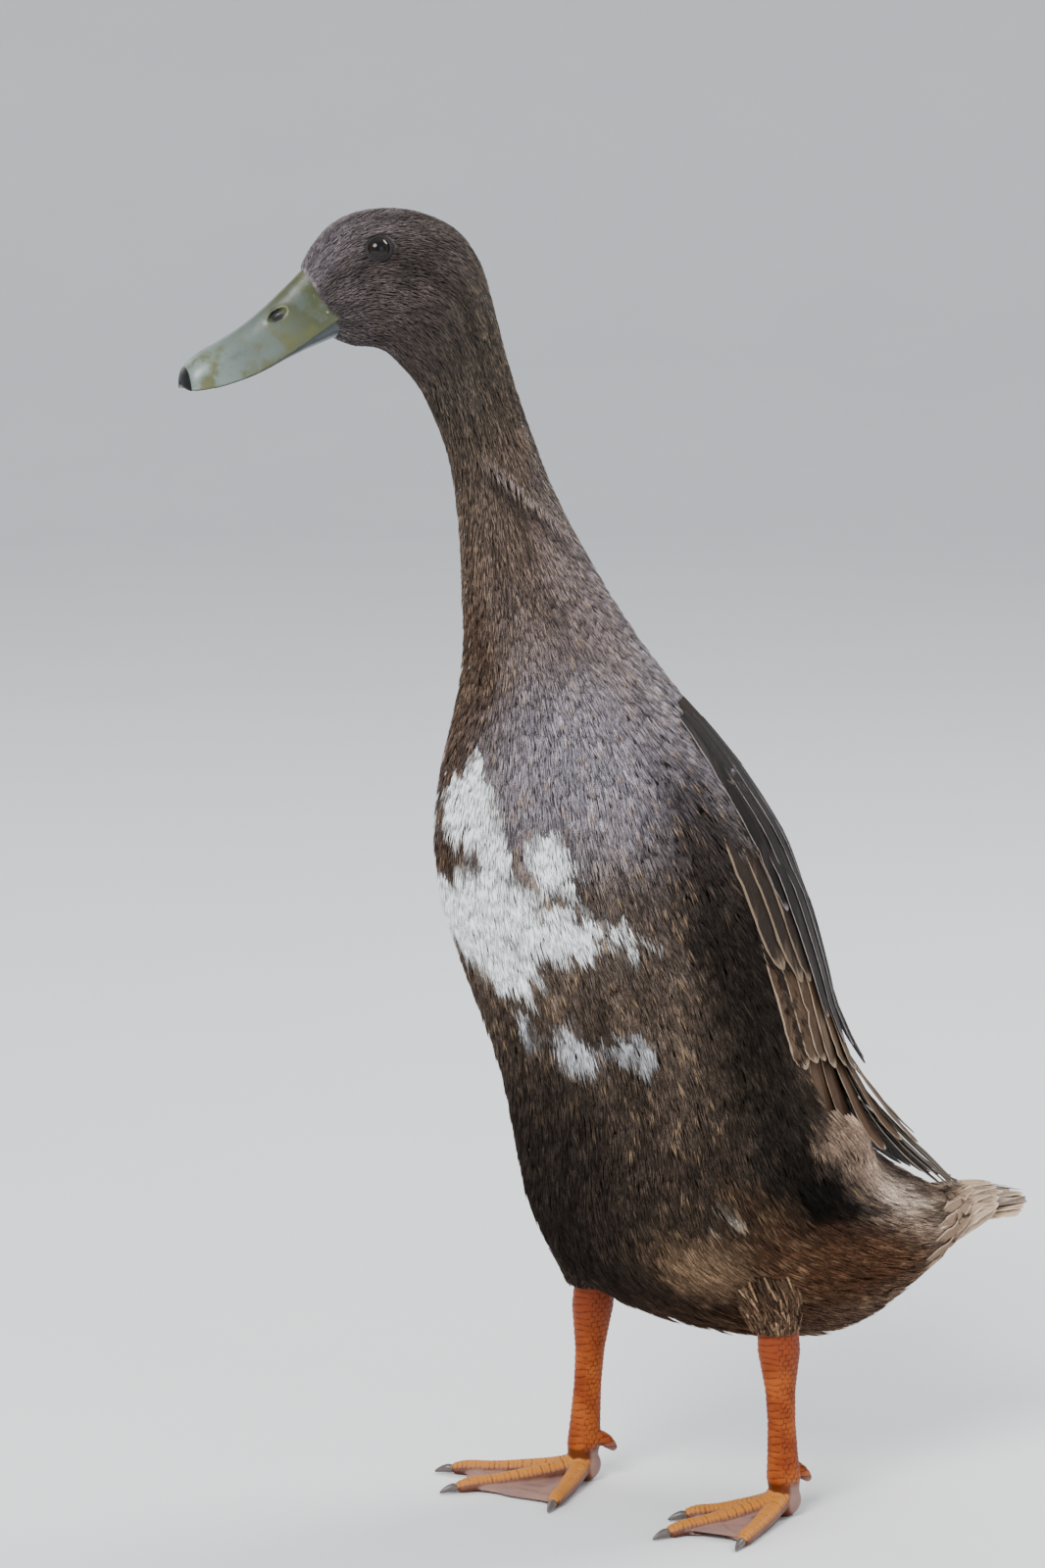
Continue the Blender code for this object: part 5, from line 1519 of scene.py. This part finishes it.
def bill_material(horn):
    """Greenish horn, paler and yellower in blotches, darker along its ridge and lower edge."""
    _, g, shader = plain_shader("Bill horn", 0.35, 0.4)
    place = object_place(g)
    x, y, z = g.split(place)
    x, z = g.math("SUBTRACT", x, BILL_ROOT[0]), g.math("SUBTRACT", z, BILL_ROOT[1])
    c, s = math.cos(BILL_PITCH), math.sin(BILL_PITCH)
    down = g.math("ADD", g.math("MULTIPLY", x, s), g.math("MULTIPLY", z, c))
    ahead = g.math("SUBTRACT", g.math("MULTIPLY", x, c), g.math("MULTIPLY", z, s))
    off_middle = g.math("ABSOLUTE", y)
    blotch = g.noise(place, 75.0, 4.0, 0.6)["Fac"]
    fine = g.noise(place, 420.0, 3.0, 0.6)["Fac"]
    olive = g.product(g.smooth(down, -0.010, -0.016), g.smooth(ahead, 0.05, 0.02, 0.2, 0.8))
    ridge = g.product(g.smooth(off_middle, 0.0045, 0.0010), g.smooth(ahead, 0.042, 0.010, 0.0, 0.7))
    root_flecks = g.product(g.smooth(fine, 0.63, 0.70), g.smooth(ahead, 0.006, 0.001))
    from_nostril = g.vector("SUBTRACT", place, (NOSTRIL_AT[0], 0.0, NOSTRIL_AT[1]))
    pit = g.length(g.vector("MULTIPLY", from_nostril, (1.0, 0.0, 1.0)))
    # The nostril's pit is painted near black: painted shade in the hole.
    nostril = g.product(g.smooth(pit, 0.0042, 0.0018), g.smooth(off_middle, 0.0078, 0.0068))
    base = g.paint(
        (0.034, 0.040, 0.010),
        (g.smooth(ahead, 0.008, 0.036), (0.084, 0.104, 0.090)),
        (g.smooth(ahead, 0.038, 0.062), horn),
        (g.smooth(blotch, 0.48, 0.66, 0.0, 0.9), (0.068, 0.070, 0.016)),
        (g.smooth(blotch, 0.44, 0.30, 0.0, 0.6), (0.066, 0.084, 0.076)),
        (olive, (0.045, 0.052, 0.020)),
        (ridge, (0.060, 0.060, 0.026)),
        (g.smooth(fine, 0.62, 0.75, 0.0, 0.35), (0.028, 0.030, 0.018)),
        (root_flecks, (0.70, 0.70, 0.66)),
        (nostril, (0.012, 0.012, 0.010)),
    )
    g.feed(shader, "Base Color", base)
    grain = g.math("ADD", fine, g.math("MULTIPLY", blotch, 2.0))
    g.feed(shader, "Normal", g.bump(grain, 0.25, 0.25 * MM))
    g.feed(shader, "Roughness", g.smooth(blotch, 0.3, 0.7, 0.30, 0.48))
    g.feed(shader, "Coat Weight", 0.10)
    g.feed(shader, "Coat Roughness", 0.2)


def leg_material(leg, toe_top, web_dark):
    """Orange scaled skin, darker between the scales, with mauve-grey webs and yellow toe tops."""
    _, g, shader = plain_shader("Leg skin", 0.45, 0.15)
    place = object_place(g)
    z = g.split(place)[2]
    web, toe, height = g.split(g.attribute("scales"))
    blotch = g.noise(place, 90.0, 4.0)["Fac"]
    fine = g.noise(place, 900.0, 3.0)["Fac"]
    base = g.paint(
        (0.185, 0.030, 0.004),
        (g.smooth(blotch, 0.35, 0.65), leg),
        (g.smooth(z, 0.060, 0.085), (0.190, 0.034, 0.008)),
        (toe, toe_top),
        (web, g.mix(blotch, web_dark, (0.360, 0.190, 0.120))),
    )
    groove = g.smooth(height, 0.10, 0.75, 0.40, 1.10)
    base = g.shade(base, g.math("MAXIMUM", groove, g.math("MULTIPLY", web, 0.97)))
    base = g.mix(g.smooth(fine, 0.60, 0.78, 0.0, 0.5), base, (0.120, 0.045, 0.020))
    g.feed(shader, "Base Color", base)
    cells = g.node("ShaderNodeTexVoronoi", {"Vector": place, "Scale": 900.0}).outputs["Distance"]
    relief_height = g.math("MULTIPLY_ADD", cells, g.math("MULTIPLY_ADD", web, 1.0, 0.2), fine)
    g.feed(shader, "Normal", g.bump(relief_height, 0.35, 0.25 * MM))
    g.feed(shader, "Subsurface Weight", 0.08)
    g.feed(shader, "Subsurface Radius", (0.004, 0.0015, 0.0008))


# Plumage materials: roughness, sheen, share of the feathers with a pale tip, the tip's colour,
# where None is the settings' tan, and how far the strands differ.
PLUMAGE = {
    "Skin under the coat": (0.9, 0.0, 0.0, None, 0.1),
    "Head feathers": (0.75, 0.03, 0.22, (0.160, 0.118, 0.092), 0.50),
    "Neck feathers": (0.72, 0.03, 0.30, (0.270, 0.185, 0.115), 0.50),
    "Body feathers": (0.72, 0.0, 0.34, None, 0.62),
}
# Vane materials: the inputs of their group by name, and last the roughness.
VANE_INPUTS = ("Ground", "Rim", "Rim width", "Rim strength", "Fleck", "Flecks")
DARK, BROWN = (0.015, 0.012, 0.011), (0.072, 0.041, 0.025)
VANES = {
    "Scapular vanes": (DARK, (0.280, 0.240, 0.235), 0.06, 0.80, (0.050, 0.040, 0.037), 0.5, 0.46),
    "Median covert vanes": (
        (0.026, 0.019, 0.015), (0.230, 0.165, 0.110), 0.16, 0.8, (0.100, 0.068, 0.046), 0.6, 0.5),
    "Covert vanes": (
        (0.074, 0.045, 0.027), (0.330, 0.245, 0.175), 0.10, 0.85, (0.125, 0.085, 0.056), 0.7, 0.5),
    "Secondary vanes": (BROWN, (0.330, 0.235, 0.150), 0.06, 0.90, (0.085, 0.052, 0.032), 0.5, 0.42),
    "Primary vanes": ((0.018, 0.013, 0.011), (0.330, 0.270, 0.210), 0.08, 0.75, BROWN, 0.3, 0.4),
    "Tail vanes": ((0.400, 0.285, 0.195), (0.600, 0.470, 0.350), 0.15, 0.7, (0.080, 0.054, 0.038), 0.6, 0.6),
    "Tail covert vanes": (
        (0.240, 0.160, 0.108), (0.440, 0.325, 0.235), 0.20, 0.6, (0.030, 0.020, 0.015), 0.98, 0.6),
    "Wing bed": ((0.030, 0.023, 0.020), DARK, 0.1, 0.0, BROWN, 0.4, 0.8),
}


def make_materials(colours):
    """Every material, with the colours of the settings."""
    markings_group(colours.white)
    vane_group()
    for name, (roughness, sheen, fringed, tip, contrast) in PLUMAGE.items():
        plumage_material(name, roughness, sheen, fringed, tip or colours.tips, contrast)
    for name, row in VANES.items():
        vane_material(name, row)
    for name, row in SPECKLED.items():
        speckled_material(name, *row)
    eye_material()
    bill_material(colours.bill)
    leg_material(colours.legs, colours.toes, colours.webs)


# Rings of the floor from the middle out: radius and height.
FLOOR_RINGS = [(1.0, 0), (4.0, 0), (5.0, 0.15), (5.7, 0.7), (6.0, 1.6), (6.0, 3.2)]
# The lights: place, width, and the setting of their power. All point at LIGHT_AIM.
LIGHTS = {
    "key": ((1.5, 1.4, 2.0), 1.3, "key_power"),
    "rim": ((-1.6, -0.3, 1.9), 1.0, "rim_power"),
    "fill": ((-0.6, 2.4, 0.9), 1.6, "fill_power"),
    "far side": ((0.8, -2.2, 1.6), 1.6, "fill_power"),
}
LIGHT_AIM = (0.0, 0.0, 0.32)
# The photograph's view of 1066 by 1600 pixels: its long side is the sensor's.
SENSOR_HEIGHT = 36.0
CAMERA_LENS = 110.7
CAMERA_PLACE = (0.8167, 1.9053, 0.66)
CAMERA_AIM = (0.0375, -0.0232, 0.325)


def stage_object(data, place, aim):
    """A light or camera at a place, turned to a point."""
    obj = linked(data.name, data)
    obj.location = place
    obj.rotation_euler = (Vector(place) - Vector(aim)).to_track_quat("Z", "Y").to_euler()
    return obj


def make_floor():
    """A pale floor that curves up far away."""
    bm = bmesh.new()
    bmesh.ops.create_circle(bm, segments=128, radius=0.2, cap_ends=True)
    rim = [edge for edge in bm.edges if edge.is_boundary]
    for radius, height in FLOOR_RINGS:
        made = bmesh.ops.extrude_edge_only(bm, edges=rim)["geom"]
        for vert in (v for v in made if isinstance(v, bmesh.types.BMVert)):
            flat = Vector((vert.co.x, vert.co.y, 0)).normalized() * radius
            vert.co = (flat.x, flat.y, height)
        rim = [edge for edge in made if isinstance(edge, bmesh.types.BMEdge)]
    mesh = mesh_of(bm, "floor")
    mesh.shade_smooth()
    floor = linked("floor", mesh)
    material, g, shader = plain_shader("Floor", 0.85, 0.2)
    grain = g.noise(object_place(g), 6.0, 2.0)["Fac"]
    g.feed(shader, "Base Color", g.mix(grain, (0.74, 0.74, 0.74), (0.78, 0.78, 0.775)))
    mesh.materials.append(material)
    floor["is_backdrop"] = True


def make_stage(settings):
    """The floor, an even sky, soft lights and the photograph's camera."""
    make_floor()
    world = bpy.context.scene.world or bpy.data.worlds.new("World")
    bpy.context.scene.world = world
    world.use_nodes = True
    sky = world.node_tree.nodes["Background"]
    sky.inputs["Color"].default_value = (0.86, 0.92, 1.0, 1.0)
    sky.inputs["Strength"].default_value = settings.sky_strength
    for name, (place, size, power) in LIGHTS.items():
        data = bpy.data.lights.new(name, "AREA")
        data.shape = "DISK"
        data.size = size
        data.energy = getattr(settings, power)
        stage_object(data, place, LIGHT_AIM)
    data = bpy.data.cameras.new("camera")
    data.lens = CAMERA_LENS
    data.sensor_width = SENSOR_HEIGHT
    bpy.context.scene.camera = stage_object(data, CAMERA_PLACE, CAMERA_AIM)


class DuckCoatSettings(bpy.types.PropertyGroup):
    """Grid of the skin and the draws of the coat."""

    skin_columns: IntProperty(
        name="Skin columns", description="Faces round the body's skin", default=150, min=24)
    skin_rows: IntProperty(
        name="Skin rows", description="Faces along the body's skin", default=300, min=48)
    seed: IntProperty(
        name="Seed", description="Start of the random draws of the coat", default=7, min=0)


class DuckHeadSettings(bpy.types.PropertyGroup):
    """Grid of the bill."""

    bill_columns: IntProperty(
        name="Bill columns", description="Faces round the upper bill", default=150, min=24)
    bill_rows: IntProperty(
        name="Bill rows", description="Faces along the upper bill", default=170, min=24)


class DuckColourSettings(bpy.types.PropertyGroup):
    """Main colours of the duck, in linear values."""

    white: FloatVectorProperty(
        name="White", description="White patches of the breast",
        default=(0.95, 0.97, 0.97), subtype="COLOR", size=3, min=0, max=1)
    tips: FloatVectorProperty(
        name="Tips", description="Pale tips of the body's feathers",
        default=(0.400, 0.265, 0.150), subtype="COLOR", size=3, min=0, max=1)
    bill: FloatVectorProperty(
        name="Bill", description="Horn of the bill's front",
        default=(0.130, 0.165, 0.147), subtype="COLOR", size=3, min=0, max=1)
    legs: FloatVectorProperty(
        name="Legs", description="Lighter patches of the bare legs",
        default=(0.290, 0.066, 0.009), subtype="COLOR", size=3, min=0, max=1)
    toes: FloatVectorProperty(
        name="Toes", description="Tops of the toes",
        default=(0.400, 0.150, 0.026), subtype="COLOR", size=3, min=0, max=1)
    webs: FloatVectorProperty(
        name="Webs", description="Darker patches of the webs",
        default=(0.150, 0.105, 0.120), subtype="COLOR", size=3, min=0, max=1)


class DuckStageSettings(bpy.types.PropertyGroup):
    """Light on the stage."""

    sky_strength: FloatProperty(
        name="Sky", description="Strength of the even light", default=0.90, min=0)
    key_power: FloatProperty(
        name="Key", description="Power of the main light", default=92, min=0, unit="POWER")
    rim_power: FloatProperty(
        name="Rim", description="Power of the light behind", default=44, min=0, unit="POWER")
    fill_power: FloatProperty(
        name="Fill", description="Power of each side light", default=10, min=0, unit="POWER")


class DUCK_OT_materials(bpy.types.Operator):
    """Makes every material of the duck"""

    bl_idname = "duck.materials"
    bl_label = "Materials"

    def execute(self, context):
        make_materials(context.scene.duck_colours)
        return {"FINISHED"}


class DUCK_OT_skin(bpy.types.Operator):
    """Lofts the body's skin in place of the solid lengths of the body"""

    bl_idname = "duck.skin"
    bl_label = "Skin"

    def execute(self, context):
        settings = context.scene.duck_coat
        make_skin(settings.skin_columns, settings.skin_rows)
        return {"FINISHED"}


class DUCK_OT_coat(bpy.types.Operator):
    """Sets the small feathers of the head, neck and body in rows over the skin"""

    bl_idname = "duck.coat"
    bl_label = "Small feathers"

    def execute(self, context):
        for k, name in enumerate(COAT_LENGTHS):
            coat_length(name, context.scene.duck_coat.seed + k)
        return {"FINISHED"}


class DUCK_OT_thighs(bpy.types.Operator):
    """Hangs the loose feathers of the thighs round the legs"""

    bl_idname = "duck.thighs"
    bl_label = "Thighs"

    def execute(self, context):
        for suffix in SIDES:
            make_thigh(suffix)
        return {"FINISHED"}


class DUCK_OT_eyes(bpy.types.Operator):
    """Makes the eyes with their lids"""

    bl_idname = "duck.eyes"
    bl_label = "Eyes"

    def execute(self, context):
        for suffix in SIDES:
            make_eye(suffix)
        return {"FINISHED"}


class DUCK_OT_bill(bpy.types.Operator):
    """Makes the two halves of the bill and its nail"""

    bl_idname = "duck.bill"
    bl_label = "Bill"

    def execute(self, context):
        settings = context.scene.duck_head
        make_bill(settings.bill_columns, settings.bill_rows)
        return {"FINISHED"}


class DUCK_OT_wings(bpy.types.Operator):
    """Lays the wing feathers in their tiers"""

    bl_idname = "duck.wings"
    bl_label = "Wings"

    def execute(self, context):
        for suffix in SIDES:
            make_wing(suffix)
        return {"FINISHED"}


class DUCK_OT_tail(bpy.types.Operator):
    """Spreads the tail and lays its coverts"""

    bl_idname = "duck.tail"
    bl_label = "Tail"

    def execute(self, context):
        make_tail()
        return {"FINISHED"}


class DUCK_OT_legs(bpy.types.Operator):
    """Makes the scaled legs, webbed feet and claws"""

    bl_idname = "duck.legs"
    bl_label = "Legs and feet"

    def execute(self, context):
        for suffix in SIDES:
            make_leg(suffix)
        return {"FINISHED"}


class DUCK_OT_stage(bpy.types.Operator):
    """Lays the floor and sets the lights and the camera"""

    bl_idname = "duck.stage"
    bl_label = "Stage"

    def execute(self, context):
        make_stage(context.scene.duck_stage)
        return {"FINISHED"}


# In the order in which they are called.
OPERATORS = (
    DUCK_OT_materials, DUCK_OT_skin, DUCK_OT_coat, DUCK_OT_thighs, DUCK_OT_eyes, DUCK_OT_bill,
    DUCK_OT_wings, DUCK_OT_tail, DUCK_OT_legs, DUCK_OT_stage,
)
SETTINGS = {
    "duck_coat": DuckCoatSettings,
    "duck_head": DuckHeadSettings,
    "duck_colours": DuckColourSettings,
    "duck_stage": DuckStageSettings,
}


class DUCK_PT_panel(bpy.types.Panel):
    """Lists the duck's settings and the steps that make it"""

    bl_idname = "DUCK_PT_panel"
    bl_label = "Runner duck"
    bl_space_type = "VIEW_3D"
    bl_region_type = "UI"
    bl_category = "Duck"

    def draw(self, context):
        for group, kind in SETTINGS.items():
            column = self.layout.column()
            for name in kind.__annotations__:
                column.prop(getattr(context.scene, group), name)
        for operator in OPERATORS:
            self.layout.operator(operator.bl_idname)


def register():
    for settings in SETTINGS.values():
        bpy.utils.register_class(settings)
    for operator in OPERATORS:
        bpy.utils.register_class(operator)
    bpy.utils.register_class(DUCK_PT_panel)
    for name, settings in SETTINGS.items():
        setattr(bpy.types.Scene, name, PointerProperty(type=settings))


def unregister():
    for name in SETTINGS:
        delattr(bpy.types.Scene, name)
    bpy.utils.unregister_class(DUCK_PT_panel)
    for kind in reversed(OPERATORS + tuple(SETTINGS.values())):
        bpy.utils.unregister_class(kind)


def main():
    register()
    for operator in OPERATORS:
        getattr(bpy.ops.duck, operator.bl_idname.split(".")[1])()
    boxes = {"solids": SOLIDS_BOX, "visual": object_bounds()}
    sizes = {name: [list(corner) for corner in box] for name, box in boxes.items()}


if __name__ == "__main__":
    main()
